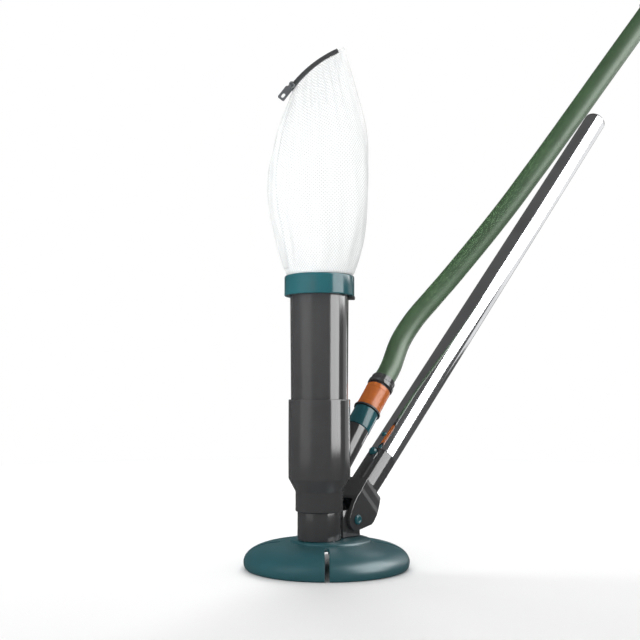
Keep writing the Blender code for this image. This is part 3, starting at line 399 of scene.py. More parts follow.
def slab(name, outline, low, high, finish, place):
    """A closed outline in a local xy plane, thickened from low to high along z."""
    shape = bmesh.new()
    face = shape.faces.new([shape.verts.new((x, y, low)) for x, y in outline])
    grown = bmesh.ops.extrude_face_region(shape, geom=[face])
    bmesh.ops.translate(shape, vec=(0, 0, high - low),
                        verts=[g for g in grown["geom"] if isinstance(g, bmesh.types.BMVert)])
    bmesh.ops.recalc_face_normals(shape, faces=shape.faces)
    return piece(name, shape, finish, place)


def bored(name, radius, low, high, place, steps=48):
    """A plain cylinder for cutting or joining."""
    return turned(name, [(0, high), (radius, high), (radius, low), (0, low)], None, place, 0.0, False, steps)


def plain(made):
    """The object's evaluated mesh made its own, with its modifiers removed."""
    graph = bpy.context.evaluated_depsgraph_get()
    mesh = bpy.data.meshes.new_from_object(made.evaluated_get(graph))
    made.modifiers.clear()
    made.data = mesh
    return made


def combine(made, others, operation="DIFFERENCE"):
    """Cuts the others from the piece or joins them to it, and removes them."""
    for other in others:
        step = made.modifiers.new("step", "BOOLEAN")
        step.operation = operation
        step.object = other
    plain(made)
    for other in others:
        bpy.data.objects.remove(other, do_unlink=True)
    smooth(made)
    return made


def softened(made, width, segments=2, angle=50):
    """Bevels the piece's sharp edges a little."""
    step = made.modifiers.new("soft", "BEVEL")
    step.width = width
    step.segments = segments
    step.limit_method = "ANGLE"
    step.angle_limit = radians(angle)
    smooth(plain(made))
    return made


def arc(centre, radius, start, end, steps):
    angles = [radians(start + (end - start) * i / steps) for i in range(steps + 1)]
    return [(centre[0] + radius * cos(a), centre[1] + radius * sin(a)) for a in angles]


def stands_for(made, body, slot, *nodes):
    """Puts a finished piece on its body and in place of its CAD nodes; the slot is not used."""
    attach(made, body)
    if nodes:
        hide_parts(*nodes)
    return made


def remoulded(name, source, finish, voxel, rounds):
    """A soft-edged copy of a CAD node: merged, remeshed finely and relaxed, as a moulded part's edges are."""
    shape = bmesh.new()
    shape.from_mesh(bpy.data.objects[source].data)
    bmesh.ops.remove_doubles(shape, verts=shape.verts, dist=0.00001)
    made = piece(name, shape, finish)
    remesh = made.modifiers.new("fine", "REMESH")
    remesh.mode = "VOXEL"
    remesh.voxel_size = voxel
    relax = made.modifiers.new("relax", "SMOOTH")
    relax.factor = 0.5
    relax.iterations = rounds
    plain(made)
    if not made.data.materials:
        made.data.materials.append(FINISHES[finish])
    made.data.shade_smooth()
    return made


# ---------------------------------------------------------------- repeated details by geometry nodes
def repeat_round(name, finish):
    """A node tree that sets small boxes round a circle, with their inputs named."""
    tree = bpy.data.node_groups.new(name, "GeometryNodeTree")
    tree.interface.new_socket("Geometry", in_out="INPUT", socket_type="NodeSocketGeometry")
    for label, kind in (("Count", "NodeSocketInt"), ("Radius", "NodeSocketFloat"),
                        ("Length", "NodeSocketFloat"), ("Width", "NodeSocketFloat"),
                        ("Height", "NodeSocketFloat")):
        tree.interface.new_socket(label, in_out="INPUT", socket_type=kind)
    tree.interface.new_socket("Geometry", in_out="OUTPUT", socket_type="NodeSocketGeometry")
    given = node(tree, "NodeGroupInput").outputs
    ring = node(tree, "GeometryNodeMeshCircle", [("Vertices", given["Count"]), ("Radius", given["Radius"])])
    size = node(tree, "ShaderNodeCombineXYZ", [("X", given["Height"]), ("Y", given["Width"]),
                                               ("Z", given["Length"])])
    rib = node(tree, "GeometryNodeMeshCube", [("Size", size.outputs["Vector"])], in_1=2, in_2=2, in_3=2)
    where = node(tree, "GeometryNodeInputPosition")
    facing = node(tree, "FunctionNodeAlignEulerToVector", [("Vector", where.outputs["Position"])], axis="X",
                  pivot_axis="Z")
    placed = node(tree, "GeometryNodeInstanceOnPoints", [("Points", ring.outputs["Mesh"]),
                                                        ("Instance", rib.outputs["Mesh"]),
                                                        ("Rotation", facing.outputs["Rotation"])])
    real = node(tree, "GeometryNodeRealizeInstances", [("Geometry", placed.outputs["Instances"])])
    coated = node(tree, "GeometryNodeSetMaterial", [("Geometry", real.outputs["Geometry"])])
    coated.inputs["Material"].default_value = FINISHES[finish]
    node(tree, "NodeGroupOutput", [("Geometry", coated.outputs["Geometry"])])
    return tree


def ribs(name, finish, place, count, radius, length, width, height):
    """Ribs round a turned piece, as one plain mesh."""
    made = piece(name, bmesh.new(), None)
    tree = repeat_round(name + "_nodes", finish)
    step = made.modifiers.new("ribs", "NODES")
    step.node_group = tree
    named = {item.name: item.identifier for item in tree.interface.items_tree if item.in_out == "INPUT"}
    for label, value in (("Count", count), ("Radius", radius), ("Length", length), ("Width", width),
                         ("Height", height)):
        step[named[label]] = value
    plain(made)
    made.data.transform(place)
    smooth(made)
    return made


# ---------------------------------------------------------------- operators
class CLEANER_OT_stage(bpy.types.Operator):
    """Make the floor, the lights and the camera"""
    bl_idname = "cleaner.stage"
    bl_label = "Stage"

    def execute(self, context):
        shape = bmesh.new()
        bmesh.ops.create_grid(shape, x_segments=1, y_segments=1, size=30.0)
        floor = piece("floor", shape, None, Matrix.Translation((*DOME.translation.xy, FLOOR_Z - 0.0002)), 180)
        floor.data.materials.append(floor_paint("studio_floor", colours().floor))
        floor.visible_glossy = False
        self.surroundings(context)
        aim = Vector((0.0, 0.0, 0.25))
        self.softbox("strip_right", (1.34, -0.66, 1.45), (0, -0.12, 1.45), (1.09, 2.8), 77, "glossy")
        self.softbox("glow_left", (-1.28, -0.96, 0.75), aim, (1.36, 1.7), 5, "glossy")
        self.softbox("strip_far", (1.58, 0.36, 1.62), (0.28, 0.36, 1.62), (0.92, 2.2), 50, "glossy")
        self.softbox("rim_right", (1.45, 1.15, 0.60), aim, (1.3, 1.3), 4.8, "glossy")
        self.softbox("back", (0.1, 1.6, 1.3), (0.0, 0.0, 0.0), (1.1, 0.8), 24, "diffuse")
        self.softbox("key", (-1.1, -1.3, 1.6), aim, (1.2, 1.2), 9, "diffuse")
        self.softbox("bag_light", (-0.5, -1.2, 0.45), (-0.015, 0.0, 0.40), (0.3, 0.3), 0.30, "diffuse", 26)
        context.scene.view_settings.view_transform = "Standard"
        camera = bpy.data.objects.new("camera", bpy.data.cameras.new("camera"))
        context.scene.collection.objects.link(camera)
        camera.location = DOME.translation + Vector((-0.0068, -1.0056, 0.1775))
        camera.rotation_euler = (radians(94.57), 0, 0)
        camera.data.lens = 53.4
        camera.data.sensor_width = 36.0
        camera.data.clip_start = 0.05
        context.scene.camera = camera
        return {"FINISHED"}

    def surroundings(self, context):
        """An even white tent that glossy surfaces see as dim, so that the softboxes draw their highlights."""
        world = bpy.data.worlds.new("studio")
        world.use_nodes = True
        tree = world.node_tree
        tent = tree.nodes["Background"]
        tent.inputs["Color"].default_value = linear("#FFFFFF")
        tent.inputs["Strength"].default_value = 0.62
        backdrop = node(tree, "ShaderNodeBackground", in_0=linear("#FFFFFF"), in_1=1.0)
        dim = node(tree, "ShaderNodeBackground", in_0=linear("#FFFFFF"), in_1=0.11)
        rays = node(tree, "ShaderNodeLightPath")
        seen = node(tree, "ShaderNodeMixShader", [(0, rays.outputs["Is Camera Ray"]), (1, tent.outputs[0]),
                                                  (2, backdrop.outputs[0])])
        whole = node(tree, "ShaderNodeMixShader", [(0, rays.outputs["Is Glossy Ray"]), (1, seen.outputs[0]),
                                                   (2, dim.outputs[0])])
        tree.links.new(whole.outputs[0], tree.nodes["World Output"].inputs["Surface"])
        context.scene.world = world

    def softbox(self, name, place, aim, size, power, kind, spread=180):
        """A rectangular light that only glossy or only diffuse surfaces take."""
        lamp = bpy.data.lights.new(name, "AREA")
        lamp.energy = power
        lamp.shape = "RECTANGLE"
        lamp.size, lamp.size_y = size
        lamp.spread = radians(spread)
        light = bpy.data.objects.new(name, lamp)
        bpy.context.scene.collection.objects.link(light)
        light.location = RISER.translation + Vector(place)
        light.rotation_euler = (Vector(aim) - Vector(place)).to_track_quat("-Z", "Y").to_euler()
        light.visible_diffuse = kind == "diffuse"
        light.visible_glossy = kind == "glossy"
        light.visible_camera = False


# The hose's route: (x, y, z) from the dome's centre, after its straight start in the nut.
HOSE_ROUTE = [
    (0.0860, 0.0905, 0.2400), (0.1027, 0.0975, 0.2657), (0.1231, 0.1015, 0.2895), (0.1440, 0.1035, 0.3133),
    (0.1640, 0.1040, 0.3371), (0.1837, 0.1040, 0.3609), (0.2027, 0.1035, 0.3846), (0.2213, 0.1030, 0.4085),
    (0.2390, 0.1025, 0.4324), (0.2568, 0.1020, 0.4563), (0.2743, 0.1015, 0.4803), (0.2917, 0.1010, 0.5044),
    (0.3092, 0.1005, 0.5286), (0.3266, 0.1000, 0.5528), (0.3441, 0.0995, 0.5770), (0.3617, 0.0990, 0.6013),
    (0.3795, 0.0985, 0.6257), (0.3968, 0.0980, 0.6502),
]
HOSE_R = 0.0119
HOSE_STRAIGHT = 0.0200
NUT_END = 0.1624               # up the inlet


def smooth_points(route, step):
    """Points read about every step from a smooth curve through the route."""
    ends = [route[0] * 2 - route[1]] + route + [route[-1] * 2 - route[-2]]
    points = []
    for before, start, end, after in zip(ends, ends[1:], ends[2:], ends[3:]):
        count = max(1, round((end - start).length / step))
        leave, arrive = start + (end - before) / 6, end - (after - start) / 6
        points += interpolate_bezier(start, leave, arrive, end, count + 1)[:-1]
    return points + [route[-1]]


def tube(name, points, radius, finish, sides=32):
    """A tube along points with its own UV map in metres, and flat ends."""
    shape = bmesh.new()
    uv = shape.loops.layers.uv.new("UVMap")
    rings, run = [], [0.0]
    side = (points[1] - points[0]).orthogonal().normalized()
    for i, point in enumerate(points):
        way = (points[min(i + 1, len(points) - 1)] - points[max(i - 1, 0)]).normalized()
        side = (side - way * side.dot(way)).normalized()
        other = way.cross(side)
        rings.append([shape.verts.new(point + radius * (side * cos(2 * pi * j / sides)
                                                        + other * sin(2 * pi * j / sides)))
                      for j in range(sides)])
        if i:
            run.append(run[-1] + (point - points[i - 1]).length)
    for i in range(len(rings) - 1):
        for j in range(sides):
            k = (j + 1) % sides
            face = shape.faces.new((rings[i][j], rings[i][k], rings[i + 1][k], rings[i + 1][j]))
            turns = [j, j + 1, j + 1, j]
            runs = [run[i], run[i], run[i + 1], run[i + 1]]
            for loop, t, v in zip(face.loops, turns, runs):
                loop[uv].uv = (t / sides * 2 * pi * radius, v)
    shape.faces.new(rings[0][::-1])
    shape.faces.new(rings[-1])
    bmesh.ops.recalc_face_normals(shape, faces=shape.faces)
    return piece(name, shape, finish), run[-1]


class CLEANER_OT_hose(bpy.types.Operator):
    """Make the garden hose and the tap connector on its end"""
    bl_idname = "cleaner.hose"
    bl_label = "Hose"

    def execute(self, context):
        start = INLET @ Vector((0, 0, NUT_END))
        origin = DOME.translation
        route = [start, start + HOSE_STRAIGHT * INLET_WAY] + [origin + Vector(p) for p in HOSE_ROUTE]
        points = smooth_points(route, 0.006)
        hose, length = tube("garden_hose", points, HOSE_R, "hose")
        stands_for(hose, "head", "hose_green", "hose")
        coarse = smooth_points(route, 0.028)
        way = (coarse[-1] - coarse[-2]).normalized()
        turn = way.to_track_quat("Z", "Y").to_matrix().to_4x4()
        place = Matrix.Translation(points[-1]) @ turn
        tap = turned("tap_connector", [
            (0.0142, 0.029), (0.0150, 0.028), (0.0150, 0.004), (0.0140, 0.001), (0.0140, -0.015),
            (0.0122, -0.015), (0.0122, 0.0003), (0.0070, 0.0003), (0.0070, 0.014), (0.0115, 0.016),
            (0.0115, 0.029)], "grey", place)
        grip = ribs("tap_connector_ribs", "grey", place @ Matrix.Translation((0, 0, 0.016)), 24, 0.0149,
                    0.018, 0.0012, 0.0007)
        combine(tap, [grip], "UNION")
        stands_for(tap, "head", "dark_plastic", "hose_tap_connector")
        return {"FINISHED"}


class CLEANER_OT_dome(bpy.types.Operator):
    """Make the suction dome with its raised ring and its four slots"""
    bl_idname = "cleaner.dome"
    bl_label = "Suction Dome"

    def execute(self, context):
        wide, wide_z, crown, wall, power = 0.0863, 0.0070, 0.0268, 0.0030, 4.3
        foot = wide - 0.0034

        def curve(widest, top, count):
            out = []
            for i in range(count):
                r = widest * sin(pi / 2 * i / (count - 1))
                out.append((r, wide_z + (top - wide_z) * sqrt(max(0.0, 1 - (r / widest) ** power))))
            return out
        under = [(foot + (wide - foot) * cos(a), wide_z * (1 - sin(a)))
                 for a in (radians(d) for d in range(15, 90, 15))]
        profile = (curve(wide, crown, 30) + under + [(foot, 0.0), (foot - wall, 0.0)]
                   + curve(wide - wall, crown - wall, 24)[::-1])
        dome = turned("dome", profile, "dome", DOME, 0.0, False, 128)
        ring_place = Matrix.Translation(0.0060 * ALONG) @ DOME
        ring = turned("ring", [(0, 0.0295), (0.0370, 0.0295), (0.0414, 0.0286), (0.0423, 0.0270),
                               (0.0423, 0.0247), (0, 0.0247)], None, ring_place, 0.0012, False, 96)
        combine(dome, [ring], "UNION")
        cutters = [bored("intake", 0.0175, -0.01, 0.06, RISER, 64)]
        for i in range(4):
            reach = [(0.0480 + 0.0023, -0.0023), (0.11, -0.0023), (0.11, 0.0023), (0.0480 + 0.0023, 0.0023)]
            outline = arc((0.0503, 0), 0.0023, 90, 270, 8) + reach[1:3]
            cutters.append(slab(f"slot_{i}", outline, -0.02, 0.06, None,
                                DOME @ Matrix.Rotation(i * pi / 2, 4, "Z")))
        for i in range(3):
            turn = TURN + (i + 1) * pi / 2
            spot = Matrix.Translation((0.02015 * cos(turn), 0.02015 * sin(turn), 0))
            cutters.append(bored(f"screw_{i}", 0.0016, -0.01, 0.06, RISER @ spot, 20))
        combine(dome, cutters)
        softened(dome, 0.0004)
        stands_for(dome, "head", "teal_plastic", "suction_head")
        return {"FINISHED"}


class CLEANER_OT_body(bpy.types.Operator):
    """Make the neck, the venturi body, the riser and the bag's collar"""
    bl_idname = "cleaner.body"
    bl_label = "Body and Riser"

    def execute(self, context):
        neck = turned("neck", [(0.0215, 0.0780), (0.0215, 0.0583), (0.0228, 0.0583), (0.0228, 0.0298),
                               (0.0175, 0.0298), (0.0175, 0.0780)], "grey", RISER, 0.0004)
        inside = -0.0370 + 0.0200
        end = 0.0103
        outline = [(inside, -0.0182), (end, -0.0182)] + arc((0, 0), end, 0, 90, 24) + [(inside, end)]
        boss = softened(slab("boss", outline, -0.0145, 0.0145, None, HINGE), 0.0009, 3)
        combine(neck, [boss], "UNION")
        combine(neck, [bored("bore", 0.0175, 0.0, 0.2, RISER, 64),
                       bored("pin_way", 0.0033, -0.05, 0.05, HINGE, 32)])
        stands_for(neck, "head", "dark_plastic", "neck_block")
        body = turned("body", [(0.0323, 0.1738), (0.0323, 0.0924), (0.0249, 0.0788), (0.0249, 0.0586),
                               (0.0218, 0.0586), (0.0218, 0.0804), (0.0301, 0.0946), (0.0301, 0.1738)],
                      "grey", RISER, 0.0010, True, 128)
        combine(body, [bored("inlet_way", 0.0090, 0.0194, 0.09, INLET)])
        stands_for(body, "head", "dark_plastic", "venturi_body")
        riser = turned("riser", [(0.0310, 0.2950), (0.0298, 0.1738), (0.0298, 0.1480), (0.0276, 0.1480),
                                 (0.0276, 0.1738), (0.0288, 0.2950)], "grey", RISER, 0.0006, True, 128)
        lug = softened(slab("lug", [(0.0300, -0.0045), (0.0376, -0.0045), (0.0376, 0.0045), (0.0300, 0.0045)],
                            0.2787, 0.2821, None, RISER), 0.0008, 3)
        combine(riser, [lug], "UNION")
        stands_for(riser, "head", "dark_plastic", "riser_tube")
        collar = turned("collar", [
            (0.0353, 0.3037), (0.0365, 0.3030), (0.0369, 0.3019), (0.0369, 0.2830), (0.0363, 0.2824),
            (0.0315, 0.2824), (0.0315, 0.2953), (0.0336, 0.2959), (0.0336, 0.3037)],
            "teal", RISER, 0.0007, True, 128)
        stands_for(collar, "bag", "teal_plastic", "bag_collar")
        return {"FINISHED"}


class CLEANER_OT_inlet(bpy.types.Operator):
    """Make the inlet pipe, the hose adaptor, the locking sleeve and the hose nut"""
    bl_idname = "cleaner.inlet"
    bl_label = "Inlet and Connector"

    def execute(self, context):
        pipe = turned("pipe", [(0.0112, 0.1052), (0.0112, 0.0922), (0.0133, 0.0922), (0.0133, 0.0200),
                               (0.0090, 0.0200), (0.0090, 0.1052)], "grey", INLET, 0.0005)
        seat = turned("seat", [(0, 0.1738), (0.0326, 0.1738), (0.0326, 0.0924), (0.0252, 0.0788),
                               (0.0252, 0.0586), (0, 0.0586)], None, RISER, 0.0, False)
        combine(pipe, [seat])
        stands_for(pipe, "head", "dark_plastic", "inlet_pipe")
        adaptor = turned("adaptor", [
            (0.0076, 0.1384), (0.0076, 0.1164), (0.0138, 0.1164), (0.0138, 0.0925), (0.0115, 0.0925),
            (0.0115, 0.1058), (0.0050, 0.1088), (0.0050, 0.1384)], "teal", INLET, 0.0008)
        stands_for(adaptor, "head", "teal_plastic", "hose_adaptor")
        sleeve = turned("lock", [
            (0.0134, 0.1488), (0.0140, 0.1480), (0.0140, 0.1437), (0.0137, 0.1432), (0.0137, 0.1242),
            (0.0140, 0.1237), (0.0140, 0.1194), (0.0134, 0.1186), (0.0125, 0.1186), (0.0125, 0.1488)],
            "orange", INLET, 0.0003)
        grip = ribs("lock_ribs", "orange", INLET @ Matrix.Translation((0, 0, 0.1337)), 36, 0.01355,
                    0.0170, 0.0009, 0.0006)
        combine(sleeve, [grip], "UNION")
        stands_for(sleeve, "lock", "orange_plastic", "connector_sleeve")
        start = 0.1511
        nut = turned("nut", [
            (0.0136, start + 0.0112), (0.0136, start + 0.0056), (0.0149, start + 0.0046), (0.0149, start),
            (0.0125, start), (0.0125, start + 0.0094), (0.0116, start + 0.0094), (0.0116, start + 0.0112)],
            "grey", INLET, 0.0005)
        knurl = ribs("nut_ribs", "grey", INLET @ Matrix.Translation((0, 0, start + 0.0083)),
                     sizes().ribs, 0.0135, 0.0046, 0.0011, 0.0008)
        combine(nut, [knurl], "UNION")
        stands_for(nut, "head", "dark_plastic", "hose_nut")
        return {"FINISHED"}


class CLEANER_OT_pole(bpy.types.Operator):
    """Make the pole, its hinged bracket, its buttons and the pin's caps"""
    bl_idname = "cleaner.pole"
    bl_label = "Pole and Bracket"

    def execute(self, context):
        bracket = remoulded("bracket", "pole_bracket", "grey", 0.00055, 4)
        stands_for(bracket, "pole", "dark_plastic", "pole_bracket")
        radius, wall, start, end = 0.015875, 0.0014, 0.0883, 0.7927
        tube_piece = turned("pole_metal", [(radius, end), (radius, start), (radius - wall, start),
                                           (radius - wall, end)], "metal", POLE, 0.0003, True, 128)
        hole = axes(Vector((0, 0, 1)), Vector((0, 1, 0)), Vector((-1, 0, 0)), Vector((0, 0, 0.1090)))
        combine(tube_piece, [bored("hole", 0.0033, 0.010, 0.03, POLE @ hole, 40)])
        stands_for(tube_piece, "pole", "pole_aluminium", "pole_tube")
        stem = radius - wall - 0.0003
        plug = turned("plug", [
            (0, 0.7960), (radius, 0.7960), (radius, 0.7930), (stem, 0.7930), (stem, 0.7790),
            (stem - 0.002, 0.7790), (stem - 0.002, 0.7930), (0, 0.7930)], "grey", POLE, 0.0009, False)
        stands_for(plug, "pole", "dark_plastic", "pole_end_plug")
        for name, node_name, at, r, out in (("release_cap", "release_button", 0.0825, 0.0046, 0.0205),
                                            ("snap_cap", "snap_button", 0.1090, 0.0030, 0.0182)):
            place = POLE @ axes(Vector((0, 0, 1)), Vector((0, 1, 0)), Vector((-1, 0, 0)), Vector((0, 0, at)))
            profile = arc((0, out - r), r, 90, 0, 16) + [(r, 0.0093), (0.0054, 0.0093), (0.0054, 0.0080),
                                                         (0, 0.0080)]
            button = turned(name, profile, "teal", place, 0.0002, False, 48)
            stands_for(button, "buttons", "teal_plastic", node_name)
        for name, node_name, side in (("cap_near", "pin_cap_near", 1), ("cap_far", "pin_cap_far", -1)):
            low = 0.0201
            place = HINGE @ (Matrix() if side > 0 else Matrix.Rotation(pi, 4, "X"))
            cap = turned(name, [
                (0, low + 0.0020), (0.0022, low + 0.0020), (0.0028, low + 0.0026), (0.0038, low + 0.0026),
                (0.0052, low + 0.0012), (0.0052, low), (0, low)], "teal", place, 0.0005, False, 48)
            stands_for(cap, "head", "teal_plastic", node_name)
        return {"FINISHED"}


# The bag's two sides, (x, z) from the riser's axis, and its half thickness at the same places.
BAG_LEFT = [(-0.0329, 0.2962), (-0.0329, 0.3037), (-0.0362, 0.3085), (-0.0445, 0.3420), (-0.0525, 0.3740),
            (-0.0545, 0.4050), (-0.0510, 0.4340), (-0.0430, 0.4650), (-0.0290, 0.5040)]
BAG_RIGHT = [(0.0329, 0.2962), (0.0329, 0.3037), (0.0375, 0.3085), (0.0465, 0.3420), (0.0515, 0.3760),
             (0.0530, 0.4130), (0.0508, 0.4560), (0.0400, 0.5030), (0.0268, 0.5530)]
BAG_DEPTH = [0.0329, 0.0329, 0.0350, 0.0405, 0.0430, 0.0400, 0.0310, 0.0170, 0.0005]
BAG_BULGE = 0.0050
ROWS_EACH = 14
BAG_COLUMNS = 288
SEAM_ROWS = (0.26, 0.985)       # shares of the bag's height
SEAM_COLUMNS = (9, 27)          # counted from its left edge towards its front
SEAM_THICK = 0.0006
SEAM_PROUD = 0.0004
ZIP_STOP = 2.26                # degrees of the closed edge that the zip leaves bare at the tip


def spread_rows(values):
    """The same number of smooth rows between each pair of control values."""
    vectors = [Vector((*value, 0.0)) if len(value) == 2 else Vector((*value, 0.0, 0.0)) for value in values]
    ends = [vectors[0] * 2 - vectors[1]] + vectors + [vectors[-1] * 2 - vectors[-2]]
    rows = []
    for before, start, end, after in zip(ends, ends[1:], ends[2:], ends[3:]):
        leave, arrive = start + (end - before) / 6, end - (after - start) / 6
        rows += interpolate_bezier(start, leave, arrive, end, ROWS_EACH + 1)[:-1]
    return rows + [vectors[-1]]


def bag_surface(first, last, swell=0.0, columns=range(BAG_COLUMNS)):
    """The bag's cloth between two shares of its height, with pleats under the zip and slack folds below."""
    left, right = spread_rows(BAG_LEFT), spread_rows(BAG_RIGHT)
    depth = spread_rows([(d,) for d in BAG_DEPTH])
    count = len(left) - 1
    shape = bmesh.new()
    uv = shape.loops.layers.uv.new("UVMap")
    rows = range(round(first * count), round(last * count) + 1)
    rings, girths, heights = [], [], []
    for i in rows:
        share = i / count
        low, high = Vector((left[i].x, 0, left[i].y)), Vector((right[i].x, 0, right[i].y))
        across, centre = (high - low) / 2, (low + high) / 2
        out = Vector((-across.z, 0, across.x)).normalized()
        free = max(0.0, min(1.0, (share - 0.22) / 0.12))
        top = max(0.0, (share - 0.62) / 0.38)
        ring = []
        for j in range(BAG_COLUMNS):
            a = 2 * pi * j / BAG_COLUMNS
            c, s = cos(a), sin(a)
            folds = sin(sizes().pleats * c * 3.0 + 2.0 * s * s)
            pleats = sizes().pleat * (top ** 1.4) * (1 - top ** 6) * folds * abs(s) ** 0.6
            slack = 0.0011 * free * (1 - top) * (sin(5 * a + 9 * share) + 0.6 * sin(9 * a - 14 * share + 1.3)
                                                 + 0.4 * sin(17 * a + 5 * share))
            crease = -0.0024 * free * (1 - share) * max(0.0, 1 - abs(c + 0.72) / 0.10) * (1 if s < 0 else 0.5)
            near = max(0.0, (share - 0.80) / 0.20)
            gathers = 0.0007 * near * (1 - near ** 8) * sin(sizes().gathers * pi * c) * abs(s) ** 0.5
            push = pleats + slack + crease + gathers + swell
            normal = (across.normalized() * c * depth[i].x + Vector((0, s * across.length, 0)))
            normal = normal.normalized() if normal.length > 1e-9 else Vector((0, 1, 0))
            ring.append(centre + across * c + Vector((0, depth[i].x * s, 0))
                        + out * BAG_BULGE * share ** 8 * s * s + normal * push)
        rings.append([shape.verts.new(point) for point in ring])
        girths.append(sum((ring[j] - ring[j - 1]).length for j in range(BAG_COLUMNS)))
        heights.append(centre.length if not heights else heights[-1] + (centre - last_centre).length)
        last_centre = centre
    wide = max(girths)
    for i in range(len(rings) - 1):
        for j in columns:
            k = (j + 1) % BAG_COLUMNS
            face = shape.faces.new((rings[i][j], rings[i][k], rings[i + 1][k], rings[i + 1][j]))
            for loop, t, row in zip(face.loops, (j, j + 1, j + 1, j), (i, i, i + 1, i + 1)):
                loop[uv].uv = ((t / BAG_COLUMNS - 0.5) * wide, heights[row])
    bmesh.ops.delete(shape, geom=[v for v in shape.verts if not v.link_faces], context="VERTS")
    return shape, girths


class CLEANER_OT_bag(bpy.types.Operator):
    """Make the mesh bag and the seam sewn down its side"""
    bl_idname = "cleaner.bag"
    bl_label = "Mesh Bag"

    def execute(self, context):
        shape, girths = bag_surface(0.0, 1.0)
        bmesh.ops.recalc_face_normals(shape, faces=shape.faces)
        area = sum(face.calc_area() for face in shape.faces)
        bag = piece("net_bag", shape, "mesh", RISER, 180)
        stands_for(bag, "bag", "bag_mesh", "mesh_bag")
        half = BAG_COLUMNS // 2
        shape, _ = bag_surface(*SEAM_ROWS, SEAM_PROUD, range(half + SEAM_COLUMNS[0], half + SEAM_COLUMNS[1]))
        seam = piece("net_seam", shape, "hem", RISER, 180)
        thick = seam.modifiers.new("thick", "SOLIDIFY")
        thick.thickness = SEAM_THICK
        thick.offset = 1
        plain(seam)
        stands_for(seam, "bag", "bag_mesh")
        return {"FINISHED"}


def arc_strip(name, inner, outer, half, start, end, finish, steps=48):
    """A bar bent along the closed edge's arc, between two angles in degrees."""
    outline = arc((0, 0), outer, end, start, steps) + arc((0, 0), inner, start, end, steps)
    return slab(name, outline, -half, half, finish, EDGE)


class CLEANER_OT_zip(bpy.types.Operator):
    """Make the zip's tape, its coil, its slider and its pull tag"""
    bl_idname = "cleaner.zip"
    bl_label = "Zip"

    def execute(self, context):
        low, tip = Vector((-0.0290, 0.5040)), Vector((0.0260, 0.5480))
        half = (tip - low).length / 2
        radius = (half ** 2 + BAG_BULGE ** 2) / (2 * BAG_BULGE)
        chord = (tip - low).normalized()
        centre = (low + tip) / 2 + Vector((-chord.y, chord.x)) * (BAG_BULGE - radius)
        start, end = (degrees(atan2((p - centre).y, (p - centre).x)) for p in (low, tip))
        inner = radius + 0.0003
        stop = end + ZIP_STOP
        tape = softened(arc_strip("tape", inner, inner + 0.0052, 0.0016, start, stop, "tape"), 0.0007)
        coil = self.coil(radius + 0.0031, start - 0.6, stop + 0.5)
        stands_for(tape, "bag", "zip_fabric", "zip_tape")
        stands_for(coil, "bag", "zip_fabric")
        slider = remoulded("slider", "zip_slider", "steel", 0.00022, 2)
        stands_for(slider, "slider", "stainless_steel", "zip_slider")
        pull = remoulded("pull", "zip_pull", "tag", 0.00022, 3)
        stands_for(pull, "pull", "dark_plastic", "zip_pull")
        return {"FINISHED"}

    def coil(self, radius, start, end):
        """The zip's coils on the front and back of the tape, set along the arc by a node tree."""
        made = piece("zip_coil", bmesh.new(), None)
        tree = bpy.data.node_groups.new("zip_coil_nodes", "GeometryNodeTree")
        tree.interface.new_socket("Geometry", in_out="INPUT", socket_type="NodeSocketGeometry")
        for label, kind in (("Count", "NodeSocketInt"), ("Radius", "NodeSocketFloat"),
                            ("Start", "NodeSocketFloat"), ("Sweep", "NodeSocketFloat"),
                            ("Tooth", "NodeSocketVector")):
            tree.interface.new_socket(label, in_out="INPUT", socket_type=kind)
        tree.interface.new_socket("Geometry", in_out="OUTPUT", socket_type="NodeSocketGeometry")
        given = node(tree, "NodeGroupInput").outputs
        curve = node(tree, "GeometryNodeCurveArc", [
            ("Resolution", given["Count"]), ("Radius", given["Radius"]),
            ("Start Angle", given["Start"]), ("Sweep Angle", given["Sweep"])])
        points = node(tree, "GeometryNodeCurveToPoints", [("Curve", curve.outputs["Curve"]),
                                                          ("Count", given["Count"])])
        tooth = node(tree, "GeometryNodeMeshCube", [("Size", given["Tooth"])], in_1=3, in_2=3, in_3=3)
        placed = node(tree, "GeometryNodeInstanceOnPoints", [("Points", points.outputs["Points"]),
                                                            ("Instance", tooth.outputs["Mesh"]),
                                                            ("Rotation", points.outputs["Rotation"])])
        real = node(tree, "GeometryNodeRealizeInstances", [("Geometry", placed.outputs["Instances"])])
        coated = node(tree, "GeometryNodeSetMaterial", [("Geometry", real.outputs["Geometry"])])
        coated.inputs["Material"].default_value = FINISHES["rubber"]
        node(tree, "NodeGroupOutput", [("Geometry", coated.outputs["Geometry"])])
        step = made.modifiers.new("coil", "NODES")
        step.node_group = tree
        named = {item.name: item.identifier for item in tree.interface.items_tree if item.in_out == "INPUT"}
        step[named["Count"]] = sizes().teeth
        step[named["Radius"]] = radius
        step[named["Start"]] = radians(start)
        step[named["Sweep"]] = radians(end - start)
        step[named["Tooth"]] = (0.0032, 0.0036, 0.0008)
        plain(made)
        made.data.transform(EDGE)
        smooth(made)
        return made


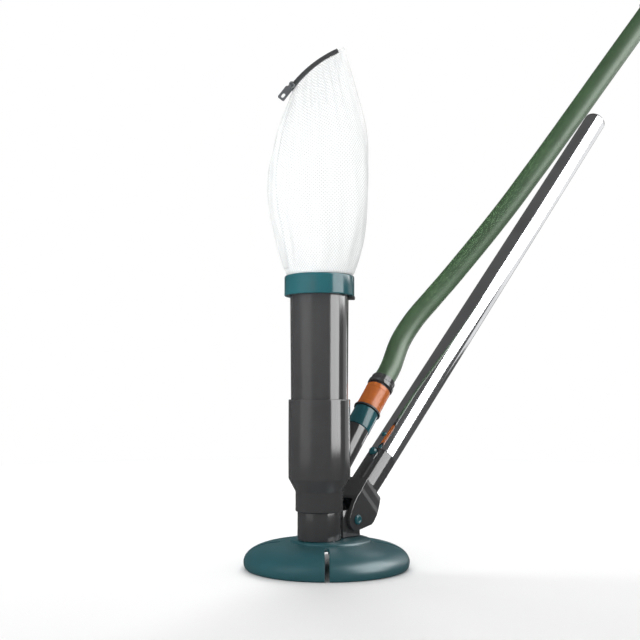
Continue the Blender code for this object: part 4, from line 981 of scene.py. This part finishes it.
class CLEANER_OT_small_parts(bpy.types.Operator):
    """Give the remaining small parts their finishes"""
    bl_idname = "cleaner.small_parts"
    bl_label = "Small Parts"

    def execute(self, context):
        kept = {
            "steel": ["base_screw_1", "base_screw_2", "base_screw_3", "flap_pin", "pivot_pin",
                      "clip_spring", "clip_arm", "clip_screw"],
            "grey": ["jet_ring", "flap_seat", "connector_body", "bag_ring"],
            "rubber": ["non_return_flap", "adaptor_washer", "connector_o_ring"],
        }
        for finish, names in kept.items():
            for name in names:
                part = bpy.data.objects[name]
                part.data.materials.clear()
                part.data.materials.append(FINISHES[finish])
        return {"FINISHED"}


class CLEANER_PT_panel(bpy.types.Panel):
    """The cleaner's pieces, sizes and colours"""
    bl_label = "Pool Cleaner"
    bl_idname = "CLEANER_PT_panel"
    bl_space_type = "VIEW_3D"
    bl_region_type = "UI"
    bl_category = "Pool Cleaner"

    def draw(self, context):
        for operator in OPERATORS:
            self.layout.operator(operator.bl_idname)
        for group in (context.scene.cleaner_sizes, context.scene.cleaner_colours):
            box = self.layout.box()
            for name in group.__annotations__:
                box.prop(group, name)


OPERATORS = (CLEANER_OT_stage, CLEANER_OT_hose, CLEANER_OT_dome, CLEANER_OT_body, CLEANER_OT_inlet,
             CLEANER_OT_pole, CLEANER_OT_bag, CLEANER_OT_zip, CLEANER_OT_small_parts)
CLASSES = (CleanerSizes, CleanerColours, *OPERATORS, CLEANER_PT_panel)


def register():
    for cls in CLASSES:
        bpy.utils.register_class(cls)
    bpy.types.Scene.cleaner_sizes = PointerProperty(type=CleanerSizes)
    bpy.types.Scene.cleaner_colours = PointerProperty(type=CleanerColours)


def unregister():
    del bpy.types.Scene.cleaner_colours
    del bpy.types.Scene.cleaner_sizes
    for cls in reversed(CLASSES):
        bpy.utils.unregister_class(cls)


def main():
    register()
    make_finishes()
    bpy.ops.cleaner.stage()
    bpy.ops.cleaner.hose()
    bpy.ops.cleaner.dome()
    bpy.ops.cleaner.body()
    bpy.ops.cleaner.inlet()
    bpy.ops.cleaner.pole()
    bpy.ops.cleaner.bag()
    bpy.ops.cleaner.zip()
    bpy.ops.cleaner.small_parts()


if __name__ == "__main__":
    main()
